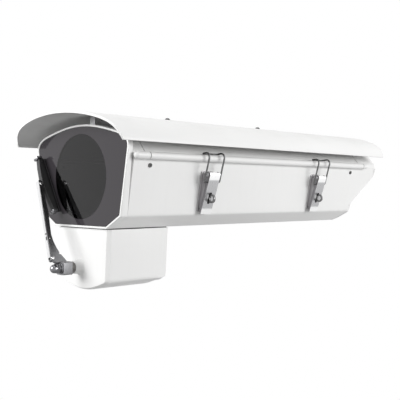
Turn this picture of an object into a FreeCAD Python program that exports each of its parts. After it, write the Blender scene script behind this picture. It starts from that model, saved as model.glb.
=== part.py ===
import FreeCAD, Part
import math
import os

V = FreeCAD.Vector
os.makedirs("parts", exist_ok=True)

# Lengths are in mm. X is across, +X is the latch side, front is -Y, up is +Z.
# The origin is the middle of the bracket holes on the flat underside.
front_y = -230.0            # front plane of the window frame
body_length = 468.0         # frame front to the back of the rear cap
frame_height = 112.0
floor_half = 47.0           # half width of the flat underside
chamfer_x = 71.0
chamfer_z = 13.6
shoulder_x = 83.5
shoulder_z = 85.5
wall_t = 2.5
floor_t = 3.0
tray_top_z = 74.6
land_in_x = 70.0            # inner edge of the gasket land
gap = 0.3                   # pieces that are seated but not clamped

# window frame casting
rim_depth = 9.0
rim_width = 2.3
glass_front = 0.6
glass_t = 3.0
mask_t = 1.5
window_seal_t = 2.0
ledge_width = 9.0
aperture_r = 46.5
aperture_z = 55.4
sleeve_t = 2.5
sleeve_in = wall_t + gap + 0.2     # depth of the sleeves inside the tray's outline
sleeve_end = 38.0

# lid
lid_t = 2.0
flank_x = 79.4
flank_z = 80.2              # the flank leans in from here
flank_top_x = 70.5
flank_top_z = 91.0
lid_top_z = frame_height - 3.8
seal_t = 2.8
lid_y0 = 26.0
lid_y1 = body_length - 43.0
web_t = 2.0
bead_r = 3.9
bead_x = 85.4
bead_z = 76.8
end_lap = 11.0
end_seal_t = 2.5

# sunshield and its rail
shield_t = 2.5
shield_y0 = -31.5
shield_y1 = body_length - 4.5
shield_lip_y = -17.8
shield_lip_z = 90.2
shield_top_z = lid_top_z + 16.0
washer_t = 1.5
rail_half = 4.5
rail_y0 = 17.0
rail_y1 = body_length - 28.0
rail_lift = 1.0
shield_screw_y = (129.0, lid_y1 - 128.0)
rail_foot_y = (70.0, (70.0 + lid_y1 - 70.0) / 2 - 0.5, lid_y1 - 70.0)

# hinge
hinge_x = -93.5
hinge_z = 76.8
knuckle_r = 3.6
hinge_pin_r = 2.0
hinge_y = (117.5, lid_y1 - 104.0)
hinge_len = 44.0
run_gap = 0.05              # radial gap of a pin that turns

# latch
latch_y = hinge_y
latch_ref_z = 40.0
pivot_s = 20.35
pivot_d = 9.06
bail_s = 11.80
bail_d = 9.53
lever_half = 8.2
lever_t = 1.2
cheek_out = 6.6
cheek_t = 1.2
bail_half = 12.0
wire_r = 1.0
hook_r = 5.3                # bar of the bail to the middle of the bead
hook_past = 15.0            # degrees behind the far side of the bead
loop_x = 4.6                # loop of the bail, from the middle of the bead
loop_z = 1.0
loop_r = 4.8
latch_pin_r = 1.5

# wiper
spin_x = -4.5
spin_z = -43.6
park_deg = 29.0
spin_r = 4.0
thread_r = 3.0
clamp_y = -21.3             # front of the clamp block
arm_pivot_r = 11.7
arm_pivot_y = -28.6
arm_pin_r = 1.2
anchor_r = 14.2
anchor_y = -17.8
spring_pin_r = 35.0
spring_pin_y = -25.2
blade_r = 103.0
blade_half = 33.0
blade_pin_y = -15.2
lip_y = glass_front - gap
arm_half = 2.9
arm_t = 0.8
tongue_half = 1.8

# box under the front that holds the wiper motor
box_half = 47.5
box_taper = 0.061           # each side wall leans in by this share of its height
box_y0 = 3.6
box_y1 = 91.2
box_bevel = 3.6
box_wall = 3.0
bush_r = 6.2
box_seal_t = 1.0

# bracket holes and cable glands
hole_dx = 50.0
hole_dy = 70.0
hole_r = 3.3
gland_x = (-26.0, 26.0)
gland_bore = 4.5


def wall_x(z):
    slope = (shoulder_x - chamfer_x) / (shoulder_z - chamfer_z)
    return chamfer_x + slope * (z - chamfer_z)


def face_xz(points, y):
    pts = [V(x, y + front_y, z) for x, z in points]
    return Part.Face(Part.makePolygon(pts + [pts[0]]))


def prism(points, y0, y1):
    return face_xz(points, y0).extrude(V(0, y1 - y0, 0))


def side_prism(points, x0, x1):
    pts = [V(x0, y + front_y, z) for y, z in points]
    return Part.Face(Part.makePolygon(pts + [pts[0]])).extrude(V(x1 - x0, 0, 0))


def block(x0, x1, y0, y1, z0, z1):
    return Part.makeBox(x1 - x0, y1 - y0, z1 - z0, V(x0, y0 + front_y, z0))


def rod_y(x, z, r, y0, y1):
    return Part.makeCylinder(r, y1 - y0, V(x, y0 + front_y, z), V(0, 1, 0))


def both(points):
    return points + [(-x, z) for x, z in reversed(points)]


def inset(points, d):
    # each corner moves in along its mitre
    n = len(points)
    area = 0.0
    for i in range(n):
        x0, z0 = points[i]
        x1, z1 = points[(i + 1) % n]
        area += x0 * z1 - x1 * z0
    turn = 1.0 if area > 0 else -1.0
    result = []
    for i in range(n):
        ax, az = points[i - 1]
        bx, bz = points[i]
        cx, cz = points[(i + 1) % n]
        l0 = math.hypot(bx - ax, bz - az)
        l1 = math.hypot(cx - bx, cz - bz)
        n0 = (-(bz - az) / l0 * turn, (bx - ax) / l0 * turn)
        n1 = (-(cz - bz) / l1 * turn, (cx - bx) / l1 * turn)
        k = 1.0 + n0[0] * n1[0] + n0[1] * n1[1]
        result.append((bx + d * (n0[0] + n1[0]) / k, bz + d * (n0[1] + n1[1]) / k))
    return result


def smooth_prism(corner, arch, y0, y1):
    # corner: right side from the bottom up; arch: from the right shoulder to the middle
    y = front_y + y0
    right = [V(x, y, z) for x, z in corner]
    left = [V(-x, y, z) for x, z in reversed(corner)]
    top = [V(x, y, z) for x, z in arch] + [V(-x, y, z) for x, z in reversed(arch[:-1])]
    curve = Part.BSplineCurve()
    curve.interpolate(top)
    edges = [Part.LineSegment(a, b).toShape() for a, b in zip(right, right[1:])]
    edges.append(curve.toShape())
    edges += [Part.LineSegment(a, b).toShape() for a, b in zip(left, left[1:])]
    edges.append(Part.LineSegment(left[-1], right[0]).toShape())
    return Part.Face(Part.Wire(edges)).extrude(V(0, y1 - y0, 0))


frame_low = [(floor_half, 0.0), (chamfer_x, chamfer_z), (shoulder_x, shoulder_z)]
frame_rise = [(82.4, 0.226), (77.0, 0.434), (63.0, 0.638), (43.0, 0.815), (21.0, 0.955), (0.0, 1.0)]
frame_arch = [(shoulder_x, shoulder_z)]
frame_arch += [(x, shoulder_z + share * (frame_height - shoulder_z)) for x, share in frame_rise]
frame_outline = both(frame_low + frame_arch[1:-1])
frame_full = frame_low + frame_arch[1:]
frame_loop = frame_full + [(-x, z) for x, z in reversed(frame_full[:-1])]


def frame_prism(d, y0, y1):
    loop = inset(frame_loop, d)
    half = loop[:len(frame_full)]
    return smooth_prism(half[:3], half[2:], y0, y1)


tray_low = [(floor_half, 0.0), (chamfer_x, chamfer_z), (wall_x(tray_top_z), tray_top_z)]


def tray_prism(d, top, y0, y1):
    loop = inset(both(tray_low), d)
    half = loop[:3]
    cap = [(x, z) for x, z in half]
    slope = (half[2][0] - half[1][0]) / (half[2][1] - half[1][1])
    cap[2] = (half[1][0] + slope * (top - half[1][1]), top)
    return prism(both(cap), y0, y1)


lid_side = [(flank_x, 74.9), (flank_x, flank_z), (flank_top_x, flank_top_z)]
lid_rise = [(65.0, 0.302), (57.0, 0.512), (41.0, 0.762), (20.5, 0.942), (0.0, 1.0)]
lid_arch = [(flank_top_x, flank_top_z)]
lid_arch += [(x, flank_top_z + share * (lid_top_z - flank_top_z)) for x, share in lid_rise]
lid_full = lid_side + lid_arch[1:]
lid_loop = lid_full + [(-x, z) for x, z in reversed(lid_full[:-1])]


def lid_prism(d, bottom, y0, y1):
    loop = inset(lid_loop, d)
    half = loop[:len(lid_full)]
    low = [(half[0][0], bottom), half[1], half[2]]
    return smooth_prism(low, half[2:], y0, y1)


rear_steps = [(59.0, 0.0), (54.0, 3.5), (51.5, 12.0), (51.5, 22.0), (48.0, 27.5), (8.0, 59.5),
              (2.0, 65.0), (0.0, 71.0), (0.0, frame_height + 4.0)]
rear_line = [(body_length - step, z) for step, z in rear_steps]


def rear_keep(back):
    # everything in front of the rear outline, moved forward by back
    pts = [(y - back, z) for y, z in rear_line]
    pts[0] = (pts[0][0] - 2.0, -2.0)
    top = frame_height + 4.0
    return side_prism(pts + [(-40.0, top), (-40.0, -2.0)], -120.0, 120.0)


def save(name, shape):
    shape = shape.removeSplitter()
    if not shape.isValid():
        print("not valid:", name)
    shape.exportStep("parts/" + name + ".step")
    print(name, len(shape.Solids), "solids", round(shape.Volume), "mm3")
    return shape


def group(shapes):
    return Part.makeCompound(shapes)


def pan_screw(point, into, head_r, head_h, shank_r, length):
    # point is on the seat, in the coordinates of this file; into points into the work
    into = V(*into)
    into.normalize()
    seat = V(point[0], point[1] + front_y, point[2])
    head = Part.makeCylinder(head_r, head_h, seat, into.negative())
    shank = Part.makeCylinder(shank_r, length, seat, into)
    slot = Part.makeCylinder(head_r * 0.45, head_h * 0.55, seat - into * head_h, into)
    return head.fuse(shank).cut(slot)


def hole(point, into, r, length, back=1.0):
    into = V(*into)
    into.normalize()
    seat = V(point[0], point[1] + front_y, point[2]) - into * back
    return Part.makeCylinder(r, length + back, seat, into)


wall_slope = (shoulder_x - chamfer_x) / (shoulder_z - chamfer_z)
wall_len = math.hypot(wall_slope, 1.0)
wall_up = (wall_slope / wall_len, 1.0 / wall_len)
wall_out = (1.0 / wall_len, -wall_slope / wall_len)
latch_ref = (wall_x(latch_ref_z), latch_ref_z)


def on_wall(s, d):
    return (latch_ref[0] + s * wall_up[0] + d * wall_out[0],
            latch_ref[1] + s * wall_up[1] + d * wall_out[1])


flank_len = math.hypot(flank_x - flank_top_x, flank_top_z - flank_z)
flank_out = ((flank_top_z - flank_z) / flank_len, (flank_x - flank_top_x) / flank_len)


def on_flank(share, d):
    x = flank_x + share * (flank_top_x - flank_x)
    z = flank_z + share * (flank_top_z - flank_z)
    return x + d * flank_out[0], z + d * flank_out[1]


side_screws = [(31.5, 67.0), (lid_y1 - 21.5, 67.5)]
latch_rivets = (14.5, -17.0)
hinge_screw_dy = 15.0


def side_screw_list(r, length, head):
    shapes = []
    for y, z in side_screws:
        for side in (1, -1):
            point = (side * wall_x(z), y, z)
            into = (-side * wall_out[0], 0, -wall_out[1])
            if head:
                shapes.append(pan_screw(point, into, 2.3, 1.0, r, length))
            else:
                shapes.append(hole(point, into, r, length))
    return shapes


def latch_rivet_list(head):
    shapes = []
    for y in latch_y:
        for s in latch_rivets:
            x, z = on_wall(s, 1.5)
            into = (-wall_out[0], 0, -wall_out[1])
            if head:
                shapes.append(pan_screw((x, y, z), into, 2.6, 1.2, 1.6, 6.0))
            else:
                shapes.append(hole((x, y, z), into, 1.6, 6.0, 0.5))
    return shapes


def hinge_tray_screws(head):
    shapes = []
    for y in hinge_y:
        for dy in (-hinge_screw_dy, hinge_screw_dy):
            for z in (50.0, 61.0):
                x = wall_x(z) + 2.0 * wall_out[0]
                zz = z + 2.0 * wall_out[1]
                into = (wall_out[0], 0, -wall_out[1])
                if head:
                    shapes.append(pan_screw((-x, y + dy, zz), into, 3.2, 1.9, 1.9, 6.5))
                else:
                    shapes.append(hole((-x, y + dy, zz), into, 1.9, 6.5, 0.5))
    return shapes


def hinge_lid_screws(head):
    shapes = []
    for y in hinge_y:
        for dy in (-hinge_screw_dy, hinge_screw_dy):
            x, z = on_flank(0.62, 2.0)
            into = (flank_out[0], 0, -flank_out[1])
            if head:
                shapes.append(pan_screw((-x, y + dy, z), into, 2.8, 1.7, 1.6, 6.0))
            else:
                shapes.append(hole((-x, y + dy, z), into, 1.6, 6.0, 0.5))
    return shapes


def cut_all(shape, cutters):
    for cutter in cutters:
        shape = shape.cut(cutter)
    return shape


def bracket_holes(z0, z1):
    mid = -front_y
    shapes = []
    for dx in (-hole_dx / 2, hole_dx / 2):
        for dy in (-hole_dy / 2, hole_dy / 2):
            point = V(dx, mid + dy + front_y, z0)
            shapes.append(Part.makeCylinder(hole_r, z1 - z0, point))
    return shapes


box_screw_xy = [(-39.5, 17.0), (39.5, 17.0), (-39.0, 74.0), (39.0, 74.0)]


def make_tray():
    y0 = rim_depth + gap
    outer = tray_prism(0.0, tray_top_z, y0, body_length)
    loop = inset(both(tray_low), wall_t)
    slope = (loop[2][0] - loop[1][0]) / (loop[2][1] - loop[1][1])
    low = [(loop[0][0], floor_t), (loop[1][0], loop[1][1] + 0.4)]
    high = (loop[1][0] + slope * (80.0 - loop[1][1]), 80.0)
    shape = outer.cut(prism(both(low + [high]), y0 - 1, body_length + 1))
    for side in (1, -1):
        x_out = wall_x(tray_top_z) - 1.5
        land = prism([(side * land_in_x, 72.1), (side * x_out, 72.1),
                      (side * x_out, tray_top_z), (side * land_in_x, tray_top_z)], 14.0, lid_y1 + 3.0)
        shape = shape.fuse(land)
    shape = shape.common(rear_keep(3.0 + 0.05))
    shape = cut_all(shape, side_screw_list(1.5, 8.0, False))
    shape = cut_all(shape, latch_rivet_list(False))
    shape = cut_all(shape, hinge_tray_screws(False))
    shape = cut_all(shape, bracket_holes(-1.0, 5.0))
    for x, y in box_screw_xy:
        shape = shape.cut(hole((x, y, 5.0), (0, 0, -1), 2.1, 8.0))
    shape = shape.cut(hole((20.0, 60.0, 5.0), (0, 0, -1), 7.0, 8.0))
    return shape


def bead(y0, y1, nose0=False, nose1=False):
    shapes = []
    for side in (1, -1):
        shape = rod_y(side * bead_x, bead_z, bead_r, y0, y1)
        if nose0:
            ball = Part.makeSphere(bead_r, V(side * bead_x, y0 + front_y, bead_z))
            shape = shape.fuse(ball)
        if nose1:
            ball = Part.makeSphere(bead_r, V(side * bead_x, y1 + front_y, bead_z))
            shape = shape.fuse(ball)
        web = [(side * (flank_x - lid_t), bead_z + 0.6), (side * bead_x, bead_z + 0.6),
               (side * bead_x, bead_z + 0.6 + web_t), (side * (flank_x - lid_t), bead_z + 0.6 + web_t)]
        shapes.append(shape.fuse(prism(web, y0, y1)))
    return shapes


def make_lid():
    bottom = bead_z + 0.6
    shape = lid_prism(0.0, bottom, lid_y0, lid_y1)
    shape = shape.cut(lid_prism(lid_t, bottom - 1.0, lid_y0 - 1, lid_y1 + 1))
    for piece in bead(lid_y0, lid_y1):
        shape = shape.fuse(piece)
    # feet that stand on the seal
    for side in (1, -1):
        x = side * (flank_x - lid_t)
        foot = prism([(x, bottom), (x - side * 5.0, bottom), (x - side * 5.0, bottom + 1.8),
                      (x, bottom + 1.8)], lid_y0 + end_lap + 1, lid_y1 - end_lap - 1)
        shape = shape.fuse(foot)
    shape = cut_all(shape, hinge_lid_screws(False))
    for y in rail_foot_y:
        shape = shape.cut(hole((0.0, y, lid_top_z - 8.2), (0, 0, 1), 2.0, 16.0))
    return shape


def make_front_frame():
    pocket_end = glass_front + glass_t + mask_t + window_seal_t
    shape = frame_prism(0.0, 0.0, rim_depth)
    shape = shape.cut(frame_prism(rim_width, -1.0, pocket_end))
    shape = shape.cut(frame_prism(ledge_width, pocket_end - 0.5, rim_depth + 1))
    # the side of the rim falls back to the flank above the wall
    for side in (1, -1):
        pts = [V(side * 83.9, 3.2 + front_y, 66.0), V(side * 90.0, 3.2 + front_y, 66.0),
               V(side * 90.0, rim_depth + 1 + front_y, 66.0), V(side * 79.4, rim_depth + 1 + front_y, 66.0)]
        notch = Part.Face(Part.makePolygon(pts + [pts[0]])).extrude(V(0, 0, 60))
        shape = shape.cut(notch)
    ring_low = tray_prism(sleeve_in, tray_top_z + 2.0, rim_depth, 13.0)
    ring = ring_low.fuse(lid_prism(0.0, tray_top_z - 6.0, rim_depth, 13.0))
    keep = tray_prism(sleeve_in, tray_top_z + gap, rim_depth, 13.0)
    keep = keep.fuse(lid_prism(0.0, tray_top_z + gap, rim_depth, 13.0))
    ring = ring.common(keep).cut(frame_prism(ledge_width, rim_depth - 1, 14.0))
    sleeve = tray_prism(sleeve_in, 71.8, 13.0, sleeve_end)
    sleeve = sleeve.cut(tray_prism(sleeve_in + sleeve_t, 90.0, 12.0, sleeve_end + 1))
    ring = ring.cut(block(-80, 80, rim_depth, 14.0, -1.0, floor_t + gap))
    sleeve = sleeve.cut(block(-52, 52, 12.0, sleeve_end + 1, -1.0, 9.0))
    collar = lid_prism(0.0, tray_top_z + gap, rim_depth, lid_y0 - gap)
    collar = collar.cut(lid_prism(lid_t, tray_top_z - 1, rim_depth - 1, lid_y0 + 1))
    lap = lid_prism(lid_t + end_seal_t, bead_z + 0.6, rim_depth, lid_y0 + end_lap)
    lap = lap.cut(lid_prism(lid_t + end_seal_t + 2.5, tray_top_z, rim_depth - 1, lid_y0 + end_lap + 1))
    bulk = lid_prism(lid_t - 0.1, tray_top_z + gap, rim_depth, 14.0)
    bulk = bulk.cut(frame_prism(ledge_width, rim_depth - 1, 15.0))
    for piece in (ring, sleeve, collar, lap, bulk):
        shape = shape.fuse(piece)
    for piece in bead(rim_depth + 1.0, lid_y0 - gap, True, False):
        shape = shape.fuse(piece)
    shape = cut_all(shape, side_screw_list(1.5, 8.0, False))
    return shape


def make_rear_cap():
    back = 3.0
    start = lid_y1 - 45.0
    full = tray_prism(0.0, tray_top_z + gap, start, body_length)
    full = full.fuse(lid_prism(0.0, tray_top_z, start, body_length))
    plate = full.common(rear_keep(0.0)).cut(rear_keep(back))
    collar = lid_prism(0.0, tray_top_z + gap, lid_y1 + gap, body_length - 1)
    collar = collar.cut(lid_prism(lid_t, tray_top_z - 1, lid_y1 - 1, body_length + 1))
    lap_y = lid_y1 - end_lap
    lap = lid_prism(lid_t + end_seal_t, bead_z + 0.6, lap_y, body_length - 1)
    lap = lap.cut(lid_prism(lid_t + end_seal_t + 2.5, tray_top_z, lap_y - 1, body_length))
    bulk = lid_prism(lid_t - 0.1, tray_top_z + gap, lid_y1 + gap, lid_y1 + 4.0)
    bulk = bulk.cut(lid_prism(lid_t + end_seal_t + 2.4, tray_top_z - 1, lid_y1, lid_y1 + 5.0))
    sleeve_y = lid_y1 - 29.0
    sleeve = tray_prism(sleeve_in, 71.8, sleeve_y, body_length)
    sleeve = sleeve.cut(tray_prism(sleeve_in + sleeve_t, 90.0, sleeve_y - 1.0, body_length + 1))
    sleeve = sleeve.common(rear_keep(1.0))
    sleeve = sleeve.cut(block(-52, 52, sleeve_y - 6.0, body_length - 4.0, -1.0, floor_t + gap))
    shape = plate
    for piece in (sleeve, collar, lap, bulk):
        shape = shape.fuse(piece)
    for piece in bead(lid_y1 + gap, lid_y1 + 8.0, False, True):
        shape = shape.fuse(piece)
    shape = cut_all(shape, side_screw_list(1.5, 8.0, False))
    for x in gland_x:
        shape = shape.cut(gland_hole(x))
    return shape


slant = V(0.0, 40.0, 32.0)
slant.normalize()
slant_out = V(0.0, slant.z, -slant.y)


def gland_seat(x):
    # half way up the slanted face
    return V(x, body_length - 28.0 + front_y, 43.5)


def gland_hole(x):
    seat = gland_seat(x)
    return Part.makeCylinder(8.0, 12.0, seat - slant_out * 8.0, slant_out)


def make_gland_body(x):
    seat = gland_seat(x)
    hexagon = []
    for i in range(6):
        a = math.radians(60 * i)
        hexagon.append(seat + V(1, 0, 0) * (11.5 * math.cos(a)) + slant * (11.5 * math.sin(a)))
    nut = Part.Face(Part.makePolygon(hexagon + [hexagon[0]])).extrude(slant_out * 5.0)
    neck = Part.makeCylinder(7.9, 8.0, seat - slant_out * 8.0, slant_out)
    top = Part.makeCylinder(9.0, 8.0, seat + slant_out * 5.0, slant_out)
    body = nut.fuse(neck).fuse(top)
    bore = Part.makeCylinder(gland_bore + 1.5, 40.0, seat - slant_out * 15.0, slant_out)
    return body.cut(bore)


def make_gland_seal(x):
    seat = gland_seat(x)
    body = Part.makeCylinder(gland_bore + 1.5, 14.0, seat - slant_out * 4.0, slant_out)
    bore = Part.makeCylinder(gland_bore, 30.0, seat - slant_out * 10.0, slant_out)
    return body.cut(bore)


def make_gland_cap(x):
    seat = gland_seat(x) + slant_out * 13.0
    body = Part.makeCylinder(10.0, 5.0, seat, slant_out)
    cone = Part.makeCone(10.0, 7.5, 3.0, seat + slant_out * 5.0, slant_out)
    bore = Part.makeCylinder(gland_bore + 0.3, 30.0, seat - slant_out * 5.0, slant_out)
    return body.fuse(cone).cut(bore)


def make_glass():
    return frame_prism(rim_width + gap, glass_front, glass_front + glass_t)


def make_mask():
    y0 = glass_front + glass_t
    shape = frame_prism(rim_width + gap, y0, y0 + mask_t)
    return shape.cut(rod_y(0.0, aperture_z, aperture_r, y0 - 1, y0 + mask_t + 1))


def make_window_seal():
    y0 = glass_front + glass_t + mask_t
    shape = frame_prism(rim_width + gap, y0, y0 + window_seal_t)
    return shape.cut(frame_prism(ledge_width, y0 - 1, y0 + window_seal_t + 1))


def make_lid_seal():
    z0 = tray_top_z
    z1 = tray_top_z + seal_t
    strips = []
    for side in (1, -1):
        near, far = side * (land_in_x + 1.5), side * (flank_x - 0.9)
        pts = [(near, z0), (far, z0), (far, z1), (near, z1)]
        strips.append(prism(pts, lid_y0 + gap, lid_y1 - gap))
    for y0, y1 in ((lid_y0 + gap, lid_y0 + end_lap), (lid_y1 - end_lap, lid_y1 - gap)):
        arch = lid_prism(lid_t, z1 - 0.5, y0, y1)
        arch = arch.cut(lid_prism(lid_t + end_seal_t, z1 - 2.0, y0 - 1, y1 + 1))
        strips.append(arch)
    shape = strips[0]
    for strip in strips[1:]:
        shape = shape.fuse(strip)
    return shape


shield_rise = [(97.8, 0.0), (97.8, 0.071), (94.2, 0.294), (86.0, 0.529), (76.0, 0.671), (60.0, 0.809),
               (40.0, 0.918), (20.0, 0.979), (0.0, 1.0)]
shield_height = shield_top_z - shield_lip_z
shield_points = [(x, shield_lip_z + share * shield_height) for x, share in shield_rise]
shield_loop = shield_points + [(-x, z) for x, z in reversed(shield_points[:-1])]


def shield_prism(d, y0, y1):
    loop = inset(shield_loop, d)
    half = loop[:len(shield_points)]
    low = [(half[0][0], shield_lip_z - d), half[1]]
    return smooth_prism(low, half[1:], y0, y1)


def make_shield():
    shape = shield_prism(0.0, shield_y0, shield_y1)
    inner = shield_prism(shield_t, shield_y0 - 1, shield_y1 + 1)
    shape = shape.cut(inner)
    front = [(shield_y0 - 3, 70.0), (shield_lip_y, 70.0), (shield_lip_y, shield_lip_z),
             (shield_y0, shield_top_z + 0.4), (shield_y0 - 3, shield_top_z + 0.4)]
    shape = shape.cut(side_prism(front, -120.0, 120.0))
    for y in shield_screw_y:
        shape = shape.cut(hole((0.0, y, shield_top_z + 1.8), (0, 0, -1), 2.3, 6.0))
    return shape


def make_rail():
    z0 = lid_top_z + rail_lift
    z1 = shield_top_z - shield_t - 0.1
    outer = block(-rail_half, rail_half, rail_y0, rail_y1, z0, z1)
    inner = block(-rail_half + 1.8, rail_half - 1.8, rail_y0 - 1, rail_y1 + 1, z0 + 2.5, z1 - 2.5)
    shape = outer.cut(inner)
    for y in shield_screw_y:
        shape = shape.cut(hole((0.0, y, shield_top_z + 1.8), (0, 0, -1), 2.0, 12.0))
    for y in rail_foot_y:
        shape = shape.cut(hole((0.0, y, lid_top_z - 2.2), (0, 0, 1), 2.0, 7.0))
    return shape


def make_rail_feet():
    z0 = lid_top_z
    shapes = []
    for y in rail_foot_y:
        foot = Part.makeCylinder(4.4, rail_lift, V(0, y + front_y, z0))
        shapes.append(foot.cut(Part.makeCylinder(2.0, 5.0, V(0, y + front_y, z0 - 1))))
    return group(shapes)


def make_rail_screws():
    z0 = lid_top_z - lid_t - 0.05
    return group([pan_screw((0, y, z0), (0, 0, 1), 3.6, 2.6, 2.0, 6.5) for y in rail_foot_y])


def make_shield_screws():
    seat = shield_top_z + washer_t
    shapes = []
    for y in shield_screw_y:
        screw = pan_screw((0, y, seat), (0, 0, -1), 3.4, 3.2, 2.0, 8.0 + washer_t)
        washer = Part.makeCylinder(4.6, washer_t, V(0, y + front_y, shield_top_z))
        shapes.append(screw.fuse(washer))
    return group(shapes)


def hinge_barrel(y, y0, y1, r):
    return rod_y(hinge_x, hinge_z, r, y + y0, y + y1)


def make_hinge_tray_leaf(y):
    h = hinge_len / 2
    x_low = wall_x(45.0)
    x_high = wall_x(69.5)
    t = 2.0
    out = hinge_x - knuckle_r
    pts = [(-x_low, 45.0), (-x_high, 69.5), (hinge_x + 1.4, 69.5), (hinge_x + 1.4, hinge_z),
           (out, hinge_z), (out, 67.0), (out + 1.0, 66.0), (-wall_x(66.0) - t * 1.02, 66.0),
           (-x_low - t * 1.02, 45.4)]
    shape = prism(pts, y - h, y + h)
    shape = shape.fuse(hinge_barrel(y, -h, h, knuckle_r))
    shape = shape.cut(block(hinge_x - 6, hinge_x + 6, y - h / 2 - gap, y + h / 2 + gap, 69.5, 84.0))
    shape = shape.cut(hinge_barrel(y, -h / 2 - gap, h / 2 + gap, knuckle_r + 0.5))
    shape = shape.cut(hinge_barrel(y, -h - 1, h + 1, hinge_pin_r))
    return cut_all(shape, hinge_tray_screws(False))


def make_hinge_lid_leaf(y):
    h = hinge_len / 2
    out = hinge_x - knuckle_r
    z0 = bead_z + bead_r + 0.5
    share = (z0 - flank_z) / (flank_top_z - flank_z)
    x_in = on_flank(share, 0.0)[0]
    arm = prism([(out, hinge_z), (out, z0 + 2.0), (-x_in - 0.5, z0 + 2.0), (-x_in, z0),
                 (hinge_x + knuckle_r, z0), (hinge_x + knuckle_r, hinge_z)], y - h / 2, y + h / 2)
    corners = [on_flank(share, 0.0), on_flank(0.94, 0.0), on_flank(0.94, 2.0), on_flank(share, 2.0)]
    pad = prism([(-x, z) for x, z in corners], y - h, y + h)
    shape = arm.fuse(pad).fuse(hinge_barrel(y, -h / 2, h / 2, knuckle_r))
    shape = shape.cut(hinge_barrel(y, -h, h, hinge_pin_r + run_gap))
    return cut_all(shape, hinge_lid_screws(False))


def make_hinge_pin(y):
    h = hinge_len / 2
    pin = hinge_barrel(y, -h - 0.8, h + 0.8, hinge_pin_r)
    return pin.fuse(hinge_barrel(y, -h - 1.6, -h - 0.0, 2.8))


def local_prism(points, y0, y1):
    return prism([on_wall(s, d) for s, d in points], y0, y1)


def local_rod(s, d, r, y0, y1):
    x, z = on_wall(s, d)
    return rod_y(x, z, r, y0, y1)


lever_low_s = -25.0
lever_low_d = 6.0
lever_out = pivot_d + 4.5


def lever_d(s):
    return lever_low_d + (s - lever_low_s) * (lever_out - lever_low_d) / (pivot_s - lever_low_s)


ring_s = -6.0
ring_d = 12.6


def make_latch_base(y):
    plate = local_prism([(-23.0, 0.0), (23.5, 0.0), (23.5, 1.5), (-23.0, 1.5)], y - 9.5, y + 9.5)
    cheek_pts = [(-20.0, 1.0), (-18.0, 4.4), (0.0, 7.6), (15.0, 10.6), (18.6, 11.6), (20.6, 11.7),
                 (22.4, 10.9), (23.0, 9.4), (22.8, 8.6), (18.6, 1.5), (18.6, 1.0)]
    shape = plate
    for side in (1, -1):
        a = y + side * (cheek_out - cheek_t)
        b = y + side * cheek_out
        shape = shape.fuse(local_prism(cheek_pts, min(a, b), max(a, b)))
    shape = shape.cut(local_rod(pivot_s, pivot_d, latch_pin_r, y - 20, y + 20))
    return cut_all(shape, latch_rivet_list(False))


def make_staple(y):
    leg = local_prism([(ring_s - 4.2, 1.5), (ring_s + 4.2, 1.5), (ring_s + 5.2, ring_d),
                       (ring_s - 5.2, ring_d)], y - 1.1, y + 1.1)
    shape = leg.fuse(local_rod(ring_s, ring_d, 5.2, y - 1.1, y + 1.1))
    return shape.cut(local_rod(ring_s, ring_d, 3.1, y - 3, y + 3))


def make_lever(y):
    a = pivot_s
    web = [(lever_low_s, lever_low_d), (a, lever_out), (a, lever_out - lever_t),
           (lever_low_s + 0.4, lever_low_d - lever_t)]
    h = lever_half
    shape = local_prism(web, y - h, y + h)
    # rolled top, 45 degrees round the pin
    roll_out = local_rod(a, pivot_d, 4.5, y - h, y + h)
    roll = roll_out.cut(local_rod(a, pivot_d, 4.5 - lever_t, y - h - 1, y + h + 1))
    roll = roll.common(local_prism([(a, pivot_d), (a, pivot_d + 8), (a + 8, pivot_d + 8)], y - h, y + h))
    shape = shape.fuse(roll)
    side_pts = [(lever_low_s, lever_low_d), (a, lever_out), (a + 3.18, pivot_d + 3.18), (a + 3.9, pivot_d),
                (a, pivot_d - 3.0), (bail_s - 1.0, bail_d - 3.2), (bail_s - 6.0, bail_d - 2.2),
                (lever_low_s + 3.0, lever_low_d - 2.6)]
    for side in (1, -1):
        y0 = y + side * (h - lever_t)
        y1 = y + side * h
        shape = shape.fuse(local_prism(side_pts, min(y0, y1), max(y0, y1)))
    slot = local_prism([(ring_s - 7.0, 2.0), (ring_s + 6.6, 2.0), (ring_s + 6.6, 16.0),
                        (ring_s - 7.0, 16.0)], y - 2.2, y + 2.2)
    shape = shape.cut(slot)
    shape = shape.cut(local_rod(a, pivot_d, latch_pin_r + run_gap, y - 20, y + 20))
    shape = shape.cut(local_rod(bail_s, bail_d, wire_r + run_gap, y - 20, y + 20))
    return shape


def make_latch_pin(y):
    pin = local_rod(pivot_s, pivot_d, latch_pin_r, y - lever_half - 0.9, y + lever_half + 0.9)
    head = local_rod(pivot_s, pivot_d, 2.3, y - lever_half - 1.3, y - lever_half - 0.3)
    tail = local_rod(pivot_s, pivot_d, 2.3, y + lever_half + 0.3, y + lever_half + 1.3)
    return pin.fuse(head).fuse(tail)


def bail_path():
    cx, cz = on_wall(bail_s, bail_d)
    end = math.atan2(bead_z - cz, bead_x - cx) + math.radians(hook_past)
    bar = (bead_x + hook_r * math.cos(end), bead_z + hook_r * math.sin(end))
    middle = (bead_x + loop_x, bead_z + loop_z)
    first = math.radians(95.0)
    last = math.radians(-16.0)
    top = (middle[0] + loop_r * math.cos(first), middle[1] + loop_r * math.sin(first))
    low = (middle[0] + loop_r * math.cos(last), middle[1] + loop_r * math.sin(last))
    return bar, top, middle, low, (cx, cz)


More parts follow.
